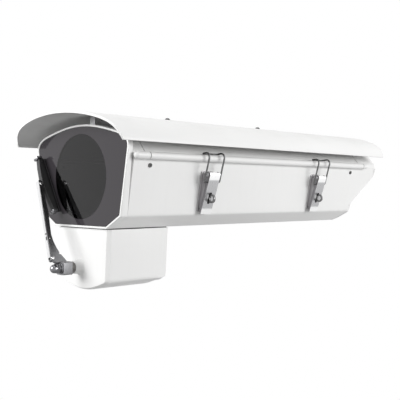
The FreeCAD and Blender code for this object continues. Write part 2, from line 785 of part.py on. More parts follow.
def make_bail(y):
    bar, top, middle, low, pivot = bail_path()
    pieces = [rod_y(bar[0], bar[1], wire_r, y - bail_half, y + bail_half)]
    for side in (1, -1):
        yy = y + side * bail_half + front_y
        p_bar, p_top, p_mid, p_low, p_pin = [V(x, yy, z) for x, z in (bar, top, middle, low, pivot)]
        pieces.append(Part.makeSphere(wire_r, p_bar))
        pieces.append(Part.makeCylinder(wire_r, (p_top - p_bar).Length, p_bar, p_top - p_bar))
        along = V(math.sin(math.radians(95.0)), 0, -math.cos(math.radians(95.0)))
        section = Part.Face(Part.Wire(Part.makeCircle(wire_r, p_top, along)))
        pieces.append(section.revolve(p_mid, V(0, 1, 0), 111.0))
        pieces.append(Part.makeSphere(wire_r, p_top))
        pieces.append(Part.makeSphere(wire_r, p_low))
        pieces.append(Part.makeCylinder(wire_r, (p_pin - p_low).Length, p_low, p_pin - p_low))
        pieces.append(Part.makeSphere(wire_r, p_pin))
        inner = y + side * (cheek_out + gap)
        y0, y1 = sorted((inner, y + side * bail_half))
        pieces.append(rod_y(pivot[0], pivot[1], wire_r, y0, y1))
    shape = pieces[0]
    for piece in pieces[1:]:
        shape = shape.fuse(piece)
    return shape


# wiper pieces are drawn upright over the spindle, then leaned to the parked angle
def park(shape):
    shape.rotate(V(spin_x, 0, spin_z), V(0, 1, 0), -park_deg)
    return shape


def wiper_plate(points, t0, t1):
    # points are (distance from the spindle, y), the plate is t0 to t1 across the arm
    pts = [V(spin_x + t0, y + front_y, spin_z + r) for r, y in points]
    return Part.Face(Part.makePolygon(pts + [pts[0]])).extrude(V(t1 - t0, 0, 0))


def wiper_rod(r, y, radius, t0, t1):
    return Part.makeCylinder(radius, t1 - t0, V(spin_x + t0, y + front_y, spin_z + r), V(1, 0, 0))


def make_spindle():
    shape = rod_y(spin_x, spin_z, spin_r, clamp_y, 24.0)
    return shape.fuse(rod_y(spin_x, spin_z, thread_r, clamp_y - 9.2, clamp_y))


def make_wiper_head():
    corner = V(spin_x - 6.5, clamp_y + front_y, spin_z - 7.1)
    clamp = Part.makeBox(13.0, 11.4, 14.2, corner)
    tongue = [(4.0, -12.0), (4.0, -21.0), (6.3, -21.0), (6.3, -25.0), (9.9, -29.4), (13.4, -27.4), (15.2, -22.0),
              (16.2, -18.0), (15.6, -16.2), (13.9, -15.4), (8.0, -11.8)]
    plate = wiper_plate(tongue, -tongue_half, tongue_half)
    plate = plate.fuse(wiper_rod(arm_pivot_r, arm_pivot_y, 2.1, -tongue_half, tongue_half))
    slot = [(12.0, -20.6), (20.0, -20.6), (20.0, -13.0), (12.0, -13.0)]
    plate = plate.cut(wiper_plate(slot, -0.9, 0.9))
    plate = plate.fuse(wiper_rod(anchor_r, anchor_y, 0.8, -tongue_half, tongue_half))
    plate = plate.cut(wiper_rod(arm_pivot_r, arm_pivot_y, arm_pin_r, -4.0, 4.0))
    shape = clamp.fuse(park(plate))
    return shape.cut(rod_y(spin_x, spin_z, spin_r, clamp_y - 1.0, 0.0))


def make_arm_pin():
    shape = wiper_rod(arm_pivot_r, arm_pivot_y, arm_pin_r, -arm_half - 0.7, arm_half + 0.7)
    for side in (-1, 1):
        t0, t1 = sorted((side * (arm_half + 0.1), side * (arm_half + 0.9)))
        shape = shape.fuse(wiper_rod(arm_pivot_r, arm_pivot_y, 1.9, t0, t1))
    return park(shape)


def make_head_washer():
    shape = rod_y(spin_x, spin_z, 6.0, clamp_y - 1.2, clamp_y)
    return park(shape.cut(rod_y(spin_x, spin_z, thread_r + 0.1, clamp_y - 2.0, clamp_y + 1.0)))


def make_dome_nut():
    pts = []
    for i in range(6):
        a = math.radians(60 * i + 30)
        pts.append((spin_x + 5.77 * math.cos(a), spin_z + 5.77 * math.sin(a)))
    shape = prism(pts, clamp_y - 6.6, clamp_y - 1.2)
    dome = Part.makeSphere(4.7, V(spin_x, clamp_y - 7.7 + front_y, spin_z))
    keep = Part.makeBox(20, 12, 20, V(spin_x - 10, clamp_y - 19.7 + front_y, spin_z - 10))
    neck = rod_y(spin_x, spin_z, 4.7, clamp_y - 7.7, clamp_y - 6.0)
    shape = shape.fuse(dome.common(keep)).fuse(neck)
    return park(shape.cut(rod_y(spin_x, spin_z, thread_r, clamp_y - 9.4, clamp_y)))


arm_tip = blade_r + 4.0
arm_line = [(13.2, -31.2), (50.0, -25.3), (arm_tip, -17.6)]
arm_web = arm_line + [(r, y + 0.9) for r, y in reversed(arm_line)]
arm_side = arm_line + [(arm_tip + 0.6, -16.4), (arm_tip + 0.2, -14.0), (arm_tip - 1.6, -13.4),
                       (arm_tip - 8.0, -13.4), (arm_tip - 17.0, -15.2),
                       (66.0, -17.0), (50.0, -20.2), (39.6, -22.0), (31.5, -21.9), (23.3, -20.3),
                       (17.6, -18.4), (15.4, -20.0), (13.6, -24.0), (9.6, -26.4), (8.7, -28.8), (10.0, -31.0)]


def make_arm():
    shape = wiper_plate(arm_web, -arm_half, arm_half)
    for side in (-1, 1):
        t0, t1 = sorted((side * (arm_half - arm_t), side * arm_half))
        shape = shape.fuse(wiper_plate(arm_side, t0, t1))
    shape = shape.cut(wiper_rod(arm_pivot_r, arm_pivot_y, arm_pin_r + run_gap, -9, 9))
    shape = shape.cut(wiper_rod(blade_r, blade_pin_y, 1.2, -9, 9))
    shape = shape.cut(wiper_rod(spring_pin_r, spring_pin_y, 0.8, -9, 9))
    # adjusting hole and slot in the face of the arm
    shape = shape.cut(rod_y(spin_x, spin_z + 41.3, 0.8, -32.0, -24.0))
    slot = Part.makeBox(1.3, 9.0, 4.6, V(spin_x - 0.65, -32.0 + front_y, spin_z + 33.9))
    return park(shape.cut(slot))


def make_arm_spring():
    hook = V(spin_x, anchor_y + front_y, spin_z + anchor_r)
    pin = V(spin_x, spring_pin_y + front_y, spin_z + spring_pin_r)
    d = pin - hook
    reach = d.Length
    d.normalize()
    shape = Part.makeCylinder(1.5, reach - 6.6, hook + d * 4.0, d)
    shape = shape.cut(Part.makeCylinder(0.8, reach - 8.2, hook + d * 4.8, d))
    ring = wiper_rod(anchor_r, anchor_y, 2.0, -0.6, 0.6).cut(wiper_rod(anchor_r, anchor_y, 1.1, -1.0, 1.0))
    link = Part.makeCylinder(0.5, 2.8, hook + d * 1.6, d)
    finish = Part.makeCylinder(0.6, 1.8, hook + d * (reach - 2.9), d)
    for piece in (finish, link, ring):
        shape = shape.fuse(piece)
    return park(shape)


def make_spring_pin():
    return park(wiper_rod(spring_pin_r, spring_pin_y, 0.8, -arm_half - 0.2, arm_half + 0.2))


def make_blade_pin():
    shape = wiper_rod(blade_r, blade_pin_y, 1.2, -arm_half - 0.8, arm_half + 0.8)
    for side in (-1, 1):
        t0, t1 = sorted((side * arm_half, side * (arm_half + 0.8)))
        shape = shape.fuse(wiper_rod(blade_r, blade_pin_y, 2.0, t0, t1))
    return park(shape)


def make_blade_holder():
    c = blade_r
    h = blade_half
    arch = [(c - h, -5.0), (c - h, -8.2), (c - 22, -10.6), (c - 9, -12.3), (c - 5, -12.6), (c + 5, -12.6),
            (c + 9, -12.3), (c + 22, -10.6), (c + h, -8.2), (c + h, -5.0), (c + h - 3, -5.0),
            (c + 22, -7.2), (c, -8.4), (c - 22, -7.2), (c - h + 3, -5.0)]
    shape = wiper_plate(arch, -3.2, 3.2)
    strip = wiper_plate([(c - h, -5.6), (c + h, -5.6), (c + h, -4.4), (c - h, -4.4)], -3.2, 3.2)
    shape = shape.fuse(strip)
    for r in (c - h + 0.5, c - 12.0, c + 10.0, c + h - 2.5):
        top = -10.4 if abs(r - c) < 15 else -7.6
        claw = wiper_plate([(r, top), (r + 2.0, top), (r + 2.0, -4.4), (r, -4.4)], -3.2, 3.2)
        shape = shape.fuse(claw)
    saddle = [(c - 5, -12.0), (c - 2.2, -15.8), (c - 1.0, -16.7), (c + 1.0, -16.7), (c + 2.2, -15.8),
              (c + 5, -12.0)]
    shape = shape.fuse(wiper_plate(saddle, -tongue_half, tongue_half))
    shape = shape.cut(wiper_rod(c, blade_pin_y, 1.2 + run_gap, -9, 9))
    return park(shape)


def make_blade_rubber():
    c = blade_r
    h = blade_half + 1.5
    back = wiper_plate([(c - h, -4.4), (c + h, -4.4), (c + h, -2.8), (c - h, -2.8)], -2.4, 2.4)
    lip = wiper_plate([(c - h, -2.8), (c + h, -2.8), (c + h, lip_y), (c - h, lip_y)], -0.7, 0.7)
    return park(back.fuse(lip))


def make_blade_clips():
    c = blade_r
    shapes = []
    for side in (-1, 1):
        r0 = c + side * (blade_half + 0.0)
        r1 = c + side * (blade_half + 2.6)
        a, b = sorted((r0, r1))
        clip = wiper_plate([(a, -9.0), (b, -9.0), (b, -4.5), (a, -4.5)], -4.4, 4.4)
        ear = wiper_plate([(a, -9.0), (b, -9.0), (b, -11.4), (a, -10.4)], -4.4, 4.4)
        slot = wiper_plate([(a - 1, -12.0), (b + 1, -12.0), (b + 1, -9.6), (a - 1, -9.6)], -2.6, 2.6)
        shapes.append(park(clip.fuse(ear).cut(slot)))
    return group(shapes)


box_low = [(box_half + 0.4, 0.0), (box_half + 0.4, -50.5), (45.2, -54.2), (41.5, -57.2), (36.0, -59.7),
           (28.0, -62.4), (19.8, -64.7), (10.0, -66.4), (0.0, -67.0)]


def box_profile(d):
    loop = [(x, z - box_seal_t) for x, z in box_low]
    loop = loop + [(-x, z) for x, z in reversed(loop[:-1])]
    return inset(loop, d)


def plan_wire(z, d):
    half = box_half + box_taper * z
    b = box_bevel
    right = [(half - b, box_y0), (half, box_y0 + b), (half, 48.0), (half - 1.5, box_y1 - 3.0),
             (half - 4.5, box_y1)]
    pts = inset(right + [(-x, y) for x, y in reversed(right)], d)
    vs = [V(x, y + front_y, z) for x, y in pts]
    return Part.makePolygon(vs + [vs[0]])


def box_plan(d):
    return Part.makeLoft([plan_wire(6.0, d), plan_wire(-72.0, d)], True, True)


def box_solid(d):
    shape = prism(box_profile(d), box_y0 - 15, box_y1 + 5).common(box_plan(d))
    back = box_y1 - d
    low = -70.0 + d
    cutter = side_prism([(back - 13.0, low - 3), (back - 13.0, low + 4.0), (back - 3.0, -55.5 + d),
                         (back, -50.0 + d), (back + 20, -50.0 + d), (back + 20, low - 3)], -60.0, 60.0)
    return shape.cut(cutter)


def make_wiper_box():
    shape = box_solid(0.0)
    inner = box_solid(box_wall)
    lift = inner.copy()
    lift.translate(V(0, 0, box_wall + 1.0))
    shape = shape.cut(inner).cut(lift)
    for x, y in box_screw_xy:
        boss = Part.makeCylinder(5.0, 15.0, V(x, y + front_y, -16.0 - box_seal_t))
        shape = shape.fuse(boss.common(box_solid(0.0)))
        shape = shape.cut(Part.makeCylinder(2.0, 12.0, V(x, y + front_y, -11.0 - box_seal_t)))
    shape = shape.cut(rod_y(spin_x, spin_z, bush_r, -12.0, 10.0))
    for x, z in motor_screw_xz:
        shape = shape.cut(hole((x, gear_y0, z), (0, 1, 0), 1.5, 1.0, 16.0))
        post = Part.makeCylinder(3.4, 14.0, V(x, gear_y0 - 14.0 + front_y, z), V(0, 1, 0))
        post = post.common(box_solid(1.0)).cut(hole((x, gear_y0, z), (0, 1, 0), 1.5, 1.0, 8.0))
        shape = shape.fuse(post)
    return shape


gear_y0 = 7.0
motor_screw_xz = [(spin_x - 13.0, spin_z - 7.0), (spin_x + 13.0, spin_z - 7.0)]


def make_box_seal():
    outer = box_plan(1.6).common(block(-60, 60, -10, 100, -box_seal_t, 0.0))
    shape = outer.cut(box_plan(box_wall + 1.4))
    for x, y in box_screw_xy:
        pad = Part.makeCylinder(4.6, box_seal_t, V(x, y + front_y, -box_seal_t))
        shape = shape.fuse(pad.common(outer))
        shape = shape.cut(Part.makeCylinder(2.1, 5.0, V(x, y + front_y, -3.0)))
    return shape


def make_inner_screws():
    box = [pan_screw((x, y, floor_t), (0, 0, -1), 3.6, 2.4, 2.0, 13.5) for x, y in box_screw_xy]
    top = sled_z + 2.0
    sled = [pan_screw((x, y, top), (0, 0, -1), 3.6, 2.4, 2.0, 9.0) for x, y in sled_post_xy]
    return group(box + sled)


def make_spindle_bush():
    shape = rod_y(spin_x, spin_z, bush_r, clamp_y + 11.9, 10.0)
    return shape.cut(rod_y(spin_x, spin_z, spin_r + run_gap, clamp_y, 12.0))


def make_gearbox():
    shape = block(spin_x - 17.0, spin_x + 17.0, gear_y0, 28.0, spin_z - 12.0, spin_z + 24.0)
    shape = shape.cut(rod_y(spin_x, spin_z, bush_r, 0.0, 10.0))
    shape = shape.cut(rod_y(spin_x, spin_z, spin_r + run_gap, 8.0, 24.3))
    for x, z in motor_screw_xz:
        shape = shape.cut(hole((x, 28.0, z), (0, -1, 0), 1.5, 28.0))
    return shape


def make_motor():
    shape = rod_y(spin_x, spin_z + 8.0, 12.0, 28.0, 70.0)
    shape = shape.fuse(rod_y(spin_x, spin_z + 8.0, 5.0, 70.0, 73.0))
    return shape


def make_motor_screws():
    return group([pan_screw((x, 28.0, z), (0, -1, 0), 2.8, 1.6, 1.5, 27.0) for x, z in motor_screw_xz])


def make_doubler():
    mid = -front_y
    shape = block(-40.0, 40.0, mid - 50.0, mid + 50.0, floor_t, floor_t + 4.0)
    return cut_all(shape, bracket_holes(0.0, 9.0))


sled_z = 16.0
sled_y1 = lid_y1 - 60.0
board_y = sled_y1 - 75.0
sled_post_xy = [(-38.0, 110.0), (38.0, 110.0), (-38.0, sled_y1 - 15.0), (38.0, sled_y1 - 15.0)]


def make_sled():
    shape = block(-48.0, 48.0, 95.0, sled_y1, sled_z, sled_z + 2.0)
    for x in (-14.0, 0.0, 14.0):
        slot = block(x - 3.4, x + 3.4, 130.0, 250.0, sled_z - 1, sled_z + 3)
        shape = shape.cut(slot)
    for x, y in sled_post_xy:
        shape = shape.cut(hole((x, y, sled_z - 2), (0, 0, 1), 2.0, 6.0))
    return shape


def make_sled_posts():
    shapes = []
    for x, y in sled_post_xy:
        post = Part.makeCylinder(5.0, sled_z - floor_t, V(x, y + front_y, floor_t))
        shapes.append(post.cut(Part.makeCylinder(2.0, 12.0, V(x, y + front_y, sled_z - 9.0))))
    return group(shapes)


def make_board():
    return block(-36.0, 36.0, board_y, board_y + 55.0, sled_z + 8.0, sled_z + 9.6)


def make_board_posts():
    shapes = []
    for x in (-32.0, 32.0):
        for y in (board_y + 4.0, board_y + 51.0):
            shapes.append(Part.makeCylinder(2.6, 6.0, V(x, y + front_y, sled_z + 2.0)))
    return group(shapes)


def make_terminals():
    z0 = sled_z + 9.6
    mid = board_y + 41.0
    shape = block(-28.0, 28.0, mid - 6.0, mid + 6.0, z0, z0 + 12.0)
    for i in range(8):
        x = -24.5 + 7.0 * i
        shape = shape.cut(Part.makeCylinder(2.0, 5.0, V(x, mid + front_y, z0 + 8.0)))
        shape = shape.cut(block(x - 1.8, x + 1.8, mid, mid + 7.0, z0 + 2.0, z0 + 5.6))
    return shape


def make_heater():
    z0 = sled_z + 2.0
    base = block(-30.0, 30.0, 100.0, 124.0, z0, z0 + 3.0)
    for i in range(7):
        y = 101.0 + 3.4 * i
        base = base.fuse(block(-30.0, 30.0, y, y + 1.4, z0 + 2.0, z0 + 14.0))
    return base


pieces = {
    "base_tray": make_tray,
    "front_frame": make_front_frame,
    "rear_cap": make_rear_cap,
    "window_glass": make_glass,
    "aperture_mask": make_mask,
    "window_seal": make_window_seal,
    "lid": make_lid,
    "lid_seal": make_lid_seal,
    "sunshield": make_shield,
    "shield_rail": make_rail,
    "rail_feet": make_rail_feet,
    "rail_screws": make_rail_screws,
    "shield_screws": make_shield_screws,
    "casting_screws": lambda: group(side_screw_list(1.5, 7.0, True)),
    "hinge_tray_leaf_front": lambda: make_hinge_tray_leaf(hinge_y[0]),
    "hinge_tray_leaf_rear": lambda: make_hinge_tray_leaf(hinge_y[1]),
    "hinge_lid_leaf_front": lambda: make_hinge_lid_leaf(hinge_y[0]),
    "hinge_lid_leaf_rear": lambda: make_hinge_lid_leaf(hinge_y[1]),
    "hinge_pins": lambda: group([make_hinge_pin(y) for y in hinge_y]),
    "hinge_tray_screws": lambda: group(hinge_tray_screws(True)),
    "hinge_lid_screws": lambda: group(hinge_lid_screws(True)),
    "latch_base_front": lambda: make_latch_base(latch_y[0]),
    "latch_base_rear": lambda: make_latch_base(latch_y[1]),
    "latch_rivets": lambda: group(latch_rivet_list(True)),
    "padlock_staple_front": lambda: make_staple(latch_y[0]),
    "padlock_staple_rear": lambda: make_staple(latch_y[1]),
    "latch_pins": lambda: group([make_latch_pin(y) for y in latch_y]),
    "latch_lever_front": lambda: make_lever(latch_y[0]),
    "latch_lever_rear": lambda: make_lever(latch_y[1]),
    "latch_bail_front": lambda: make_bail(latch_y[0]),
    "latch_bail_rear": lambda: make_bail(latch_y[1]),
    "wiper_box": make_wiper_box,
    "wiper_box_seal": make_box_seal,
    "spindle_bush": make_spindle_bush,
    "gearbox": make_gearbox,
    "wiper_motor": make_motor,
    "motor_screws": make_motor_screws,
    "spindle": lambda: park(make_spindle()),
    "wiper_head": make_wiper_head,
    "head_washer": make_head_washer,
    "dome_nut": make_dome_nut,
    "arm_pin": make_arm_pin,
    "wiper_arm": make_arm,
    "arm_spring": make_arm_spring,
    "spring_pin": make_spring_pin,
    "blade_pin": make_blade_pin,
    "blade_holder": make_blade_holder,
    "blade_rubber": make_blade_rubber,
    "blade_clips": make_blade_clips,
    "mount_doubler": make_doubler,
    "camera_sled": make_sled,
    "sled_posts": make_sled_posts,
    "inner_screws": make_inner_screws,
    "terminal_board": make_board,
    "board_posts": make_board_posts,
    "terminal_block": make_terminals,
    "window_heater": make_heater,
    "gland_bodies": lambda: group([make_gland_body(x) for x in gland_x]),
    "gland_seals": lambda: group([make_gland_seal(x) for x in gland_x]),
    "gland_caps": lambda: group([make_gland_cap(x) for x in gland_x]),
}

for name, make in pieces.items():
    save(name, make())
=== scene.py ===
import math

import bmesh
import bpy
import numpy as np
from mathutils import Matrix, Vector


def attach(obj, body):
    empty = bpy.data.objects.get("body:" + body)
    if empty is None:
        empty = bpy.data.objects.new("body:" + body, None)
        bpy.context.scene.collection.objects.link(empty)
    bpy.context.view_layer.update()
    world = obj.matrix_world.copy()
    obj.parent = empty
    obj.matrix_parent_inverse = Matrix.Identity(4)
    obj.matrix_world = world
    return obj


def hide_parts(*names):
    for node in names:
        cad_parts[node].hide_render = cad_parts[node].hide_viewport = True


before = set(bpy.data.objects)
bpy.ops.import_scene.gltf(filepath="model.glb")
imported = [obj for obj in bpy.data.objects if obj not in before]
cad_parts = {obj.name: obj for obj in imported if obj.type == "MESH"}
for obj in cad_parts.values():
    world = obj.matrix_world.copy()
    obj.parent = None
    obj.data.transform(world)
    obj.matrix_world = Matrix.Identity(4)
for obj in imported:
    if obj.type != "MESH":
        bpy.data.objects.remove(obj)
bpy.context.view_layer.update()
scene = bpy.context.scene
# lengths below are in millimetres, with y counted from the front face of the housing
frontShift = -230.0
print("stage: frame loaded")


# surfaces

def gridQuads(rows, cols, wrapCols=True, wrapRows=False):
    # quads between neighbouring points of a grid, rows by cols
    j, i = np.meshgrid(np.arange(rows if wrapRows else rows - 1),
                       np.arange(cols if wrapCols else cols - 1), indexing="ij")
    right, up = (i + 1) % cols, (j + 1) % rows
    quads = np.stack([j * cols + i, j * cols + right, up * cols + right, up * cols + i], axis=-1)
    return quads.reshape(-1, 4).tolist()


def stackPoints(x, y, z):
    # points from three arrays or values that are spread against each other
    return np.stack(np.broadcast_arrays(x, y, z), axis=-1)


def loft(rings, capped=True):
    # closed loops of equal length, joined in order
    rings = np.asarray(rings, float)
    rows, cols = rings.shape[:2]
    faces = gridQuads(rows, cols)
    if capped:
        faces += [list(range(cols))[::-1], list(range((rows - 1) * cols, rows * cols))]
    return rings.reshape(-1, 3), faces


def ringSweep(rings):
    # closed loops that come back to the first one
    rings = np.asarray(rings, float)
    return rings.reshape(-1, 3), gridQuads(rings.shape[0], rings.shape[1], True, True)


def sheetStrip(outer, inner, start, end, rows=2):
    # a bent sheet: two lines (x, z), point for point, carried from y = start to y = end
    count = len(outer)
    start = np.broadcast_to(np.asarray(start, float), count)
    end = np.broadcast_to(np.asarray(end, float), count)
    loop = np.vstack([outer, inner[::-1]])
    y0 = np.concatenate([start, start[::-1]])
    y1 = np.concatenate([end, end[::-1]])
    share = np.linspace(0.0, 1.0, rows)[:, None]
    y = y0 * (1.0 - share) + y1 * share
    grid = stackPoints(loop[:, 0], y, loop[:, 1])
    total = 2 * count
    faces = gridQuads(rows, total)
    i = np.arange(count - 1)
    near = np.stack([i, total - 1 - i, total - 2 - i, i + 1], axis=-1)
    far = near[:, ::-1] + (rows - 1) * total
    return grid.reshape(-1, 3), faces + near.tolist() + far.tolist()


def lathe(profile, origin, axis, steps=28):
    # a profile of (height along the axis, radius) turned once round
    profile = np.asarray(profile, float)
    axis = np.asarray(axis, float) / np.linalg.norm(axis)
    side = np.cross(axis, (0.0, 0.0, 1.0) if abs(axis[2]) < 0.9 else (1.0, 0.0, 0.0))
    side /= np.linalg.norm(side)
    other = np.cross(axis, side)
    turn = np.arange(steps) * 2.0 * np.pi / steps
    spoke = np.cos(turn)[:, None] * side + np.sin(turn)[:, None] * other
    rings = np.asarray(origin, float) + profile[:, :1, None] * axis + profile[:, 1:, None] * spoke
    return loft(rings)


def tube(path, radius, sides=12):
    # a round wire along a line, its section turned as little as possible from point to point
    path = np.asarray(path, float)
    tangent = np.gradient(path, axis=0)
    tangent /= np.linalg.norm(tangent, axis=1)[:, None]
    normals = np.zeros_like(path)
    seed = np.cross(tangent[0], (0.3, 0.5, 0.81))
    normals[0] = seed / np.linalg.norm(seed)
    for k in range(1, len(path)):
        flat = normals[k - 1] - tangent[k] * np.dot(normals[k - 1], tangent[k])
        normals[k] = flat / np.linalg.norm(flat)
    other = np.cross(tangent, normals)
    turn = np.arange(sides) * 2.0 * np.pi / sides
    rings = (path[:, None] + radius * (np.cos(turn)[None, :, None] * normals[:, None]
                                       + np.sin(turn)[None, :, None] * other[:, None]))
    return loft(rings)


def slab(outline, mapping, low, high):
    # a flat outline (u, v) given thickness from low to high by mapping(u, v, t)
    outline = np.asarray(outline, float)
    return loft([mapping(outline[:, 0], outline[:, 1], t) for t in (low, high)])


def acrossY(u, v, t):
    # an outline in (x, z), thickness along y
    return stackPoints(u, t, v)


def slabPair(outline, mapping, near, far):
    # the same slab on both sides of the middle
    return [slab(outline, mapping, *sorted((side * near, side * far))) for side in (1.0, -1.0)]


def oblong(u0, u1, v0, v1):
    return [(u0, v0), (u1, v0), (u1, v1), (u0, v1)]


def barrel(low, high, radius):
    # profile of a plain cylinder, for lathe
    return [(low, 0.0), (low, radius), (high, radius), (high, 0.0)]


def domeLine(foot, height, radius, steps, first=0.0):
    # quarter ellipse: foot + height * sin of the angle, radius * cos of the angle
    angle = np.radians(np.linspace(first, 90.0, steps))
    return np.stack([foot + height * np.sin(angle), radius * np.cos(angle)], axis=-1)


def roundCorners(points, radius, steps=5, closed=False):
    # each corner becomes an arc that touches both its runs; also says which corner a point is from
    points = np.asarray(points, float)
    count = len(points)
    radii = np.broadcast_to(np.asarray(radius, float), count)
    result, source = [], []
    for k in range(count):
        if not closed and k in (0, count - 1) or radii[k] <= 0.0:
            result.append(points[k])
            source.append(k)
            continue
        toBack = points[k - 1] - points[k]
        toNext = points[(k + 1) % count] - points[k]
        backLength, nextLength = np.linalg.norm(toBack), np.linalg.norm(toNext)
        toBack, toNext = toBack / backLength, toNext / nextLength
        half = math.acos(max(-1.0, min(1.0, float(np.dot(toBack, toNext))))) / 2.0
        if half > 1.54:
            result.append(points[k])
            source.append(k)
            continue
        reach = min(radii[k] / math.tan(half), 0.45 * backLength, 0.45 * nextLength)
        arc = reach * math.tan(half)
        bisector = (toBack + toNext) / np.linalg.norm(toBack + toNext)
        middle = points[k] + bisector * (arc / math.sin(half))
        first = points[k] + toBack * reach - middle
        last = points[k] + toNext * reach - middle
        sweep = math.pi - 2.0 * half
        for share in np.linspace(0.0, 1.0, steps):
            blend = math.sin((1.0 - share) * sweep) * first + math.sin(share * sweep) * last
            result.append(middle + blend / math.sin(sweep))
            source.append(k)
    return np.array(result), source


def smoothThrough(points, steps):
    # natural cubic spline through the points, by chord length
    points = np.asarray(points, float)
    chord = np.linalg.norm(np.diff(points, axis=0), axis=1)
    knot = np.concatenate([[0.0], np.cumsum(chord)])
    count = len(points)
    matrix, rhs = np.eye(count), np.zeros_like(points)
    for k in range(1, count - 1):
        matrix[k, k - 1:k + 2] = chord[k - 1], 2.0 * (chord[k - 1] + chord[k]), chord[k]
        rhs[k] = 6.0 * ((points[k + 1] - points[k]) / chord[k] - (points[k] - points[k - 1]) / chord[k - 1])
    bend = np.linalg.solve(matrix, rhs)
    t = np.linspace(0.0, knot[-1], steps)
    k = np.clip(np.searchsorted(knot, t, side="right") - 1, 0, count - 2)
    h, a, b = chord[k][:, None], (knot[k + 1] - t)[:, None], (t - knot[k])[:, None]
    return (bend[k] * a ** 3 + bend[k + 1] * b ** 3) / (6.0 * h) \
        + (points[k] / h - bend[k] * h / 6.0) * a + (points[k + 1] / h - bend[k + 1] * h / 6.0) * b


def offsetLine(points, distance, closed=False):
    # moved to the left of the line's direction, mitred at its corners
    points = np.asarray(points, float)
    if closed:
        before, after = np.roll(points, 1, axis=0), np.roll(points, -1, axis=0)
    else:
        before = np.vstack([2.0 * points[0] - points[1], points[:-1]])
        after = np.vstack([points[1:], 2.0 * points[-1] - points[-2]])
    a, b = points - before, after - points
    a /= np.linalg.norm(a, axis=1)[:, None]
    b /= np.linalg.norm(b, axis=1)[:, None]
    normalA = np.stack([-a[:, 1], a[:, 0]], axis=-1)
    normalB = np.stack([-b[:, 1], b[:, 0]], axis=-1)
    total = normalA + normalB
    scale = 2.0 / np.sum(total * total, axis=1)
    return points + total * (scale * distance)[:, None]


def mirrored(half):
    # a half line that starts or ends on the middle plane, made whole
    half = np.asarray(half, float)
    flip = (half * (-1.0, 1.0))[::-1]
    return np.vstack([half, flip[1:]]) if abs(half[-1, 0]) < 1e-6 else np.vstack([flip, half[1:]])


def withHeights(line, heights):
    # extra points where an open line (x, z) crosses the given heights
    pieces = [line[:1]]
    for p, q in zip(line[:-1], line[1:]):
        crossing = [h for h in heights if min(p[1], q[1]) + 0.3 < h < max(p[1], q[1]) - 0.3]
        for h in sorted(crossing, reverse=bool(q[1] < p[1])):
            pieces.append(np.array([p + (q - p) * (h - p[1]) / (q[1] - p[1])]))
        pieces.append(np.array([q]))
    return np.vstack(pieces)


def joinParts(parts):
    # several closed shapes as one list of points and faces
    points, faces, base = [], [], 0
    for p, f in parts:
        points.append(p)
        faces += [[base + i for i in face] for face in f]
        base += len(p)
    return np.vstack(points), faces


def makeMesh(name, parts, sharpAngle):
    # millimetres become metres here; edges that turn more than sharpAngle degrees stay hard
    points, faces = joinParts(parts)
    mesh = bpy.data.meshes.new(name)
    mesh.from_pydata(((points + (0.0, frontShift, 0.0)) * 0.001).tolist(), [], faces)
    shape = bmesh.new()
    shape.from_mesh(mesh)
    bmesh.ops.remove_doubles(shape, verts=shape.verts, dist=2e-6)
    bmesh.ops.dissolve_degenerate(shape, edges=shape.edges, dist=1e-6)
    bmesh.ops.recalc_face_normals(shape, faces=shape.faces)
    shape.to_mesh(mesh)
    shape.free()
    mesh.shade_smooth()
    if sharpAngle:
        mesh.set_sharp_from_angle(angle=math.radians(sharpAngle))
    return mesh


def bake(obj):
    # the modifiers' result becomes the mesh
    graph = bpy.context.evaluated_depsgraph_get()
    mesh = bpy.data.meshes.new_from_object(obj.evaluated_get(graph), depsgraph=graph)
    obj.modifiers.clear()
    obj.data = mesh


def cutWith(obj, parts):
    # takes closed shapes out of a piece
    cutter = bpy.data.objects.new("cutter", makeMesh("cutter", parts, 0))
    scene.collection.objects.link(cutter)
    cut = obj.modifiers.new("opening", "BOOLEAN")
    cut.object, cut.operation, cut.solver, cut.use_self = cutter, "DIFFERENCE", "EXACT", True
    bake(obj)
    bpy.data.objects.remove(cutter)


def addPiece(name, parts, look, body="housing", stands=(), soft=0.0, cuts=(), angle=32.0, segments=2):
    # a new piece that takes the place of a carried-over node; soft is the width of its softened edges
    obj = bpy.data.objects.new(name, makeMesh(name, parts, 0 if soft else angle))
    scene.collection.objects.link(obj)
    if cuts:
        cutWith(obj, cuts)
    if soft:
        edge = obj.modifiers.new("softEdges", "BEVEL")
        edge.width, edge.segments = soft * 0.001, segments
        edge.limit_method, edge.angle_limit = "ANGLE", math.radians(angle)
        edge.harden_normals = True
    obj.data.materials.clear()
    obj.data.materials.append(look)
    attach(obj, body)
    if stands:
        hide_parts(*stands)
    return obj


def paintFaces(obj, look, choose):
    # a second finish on the faces that choose picks by their normals
    obj.data.materials.append(look)
    normals = np.empty(len(obj.data.polygons) * 3)
    obj.data.polygons.foreach_get("normal", normals)
    obj.data.polygons.foreach_set("material_index", choose(normals.reshape(-1, 3)).astype(np.int32))


# shared shader groups

def newGroup(name, inputs, outputs):
    group = bpy.data.node_groups.new(name, "ShaderNodeTree")
    for label, kind, value in inputs:
        socket = group.interface.new_socket(name=label, in_out="INPUT", socket_type=kind)
        socket.default_value = value
    for label, kind in outputs:
        group.interface.new_socket(name=label, in_out="OUTPUT", socket_type=kind)
    nodes, links = group.nodes, group.links
    return group, nodes, links, nodes.new("NodeGroupInput"), nodes.new("NodeGroupOutput")


def feed(links, value, socket):
    # a number or a tuple is set, another node's output is linked
    if isinstance(value, (int, float, tuple)):
        socket.default_value = value
    elif value is not None:
        links.new(value, socket)


def noiseNode(nodes, links, vector, scale, detail=3.0, rough=0.5):
    node = nodes.new("ShaderNodeTexNoise")
    node.inputs["Detail"].default_value = detail
    node.inputs["Roughness"].default_value = rough
    feed(links, scale, node.inputs["Scale"])
    links.new(vector, node.inputs["Vector"])
    return node


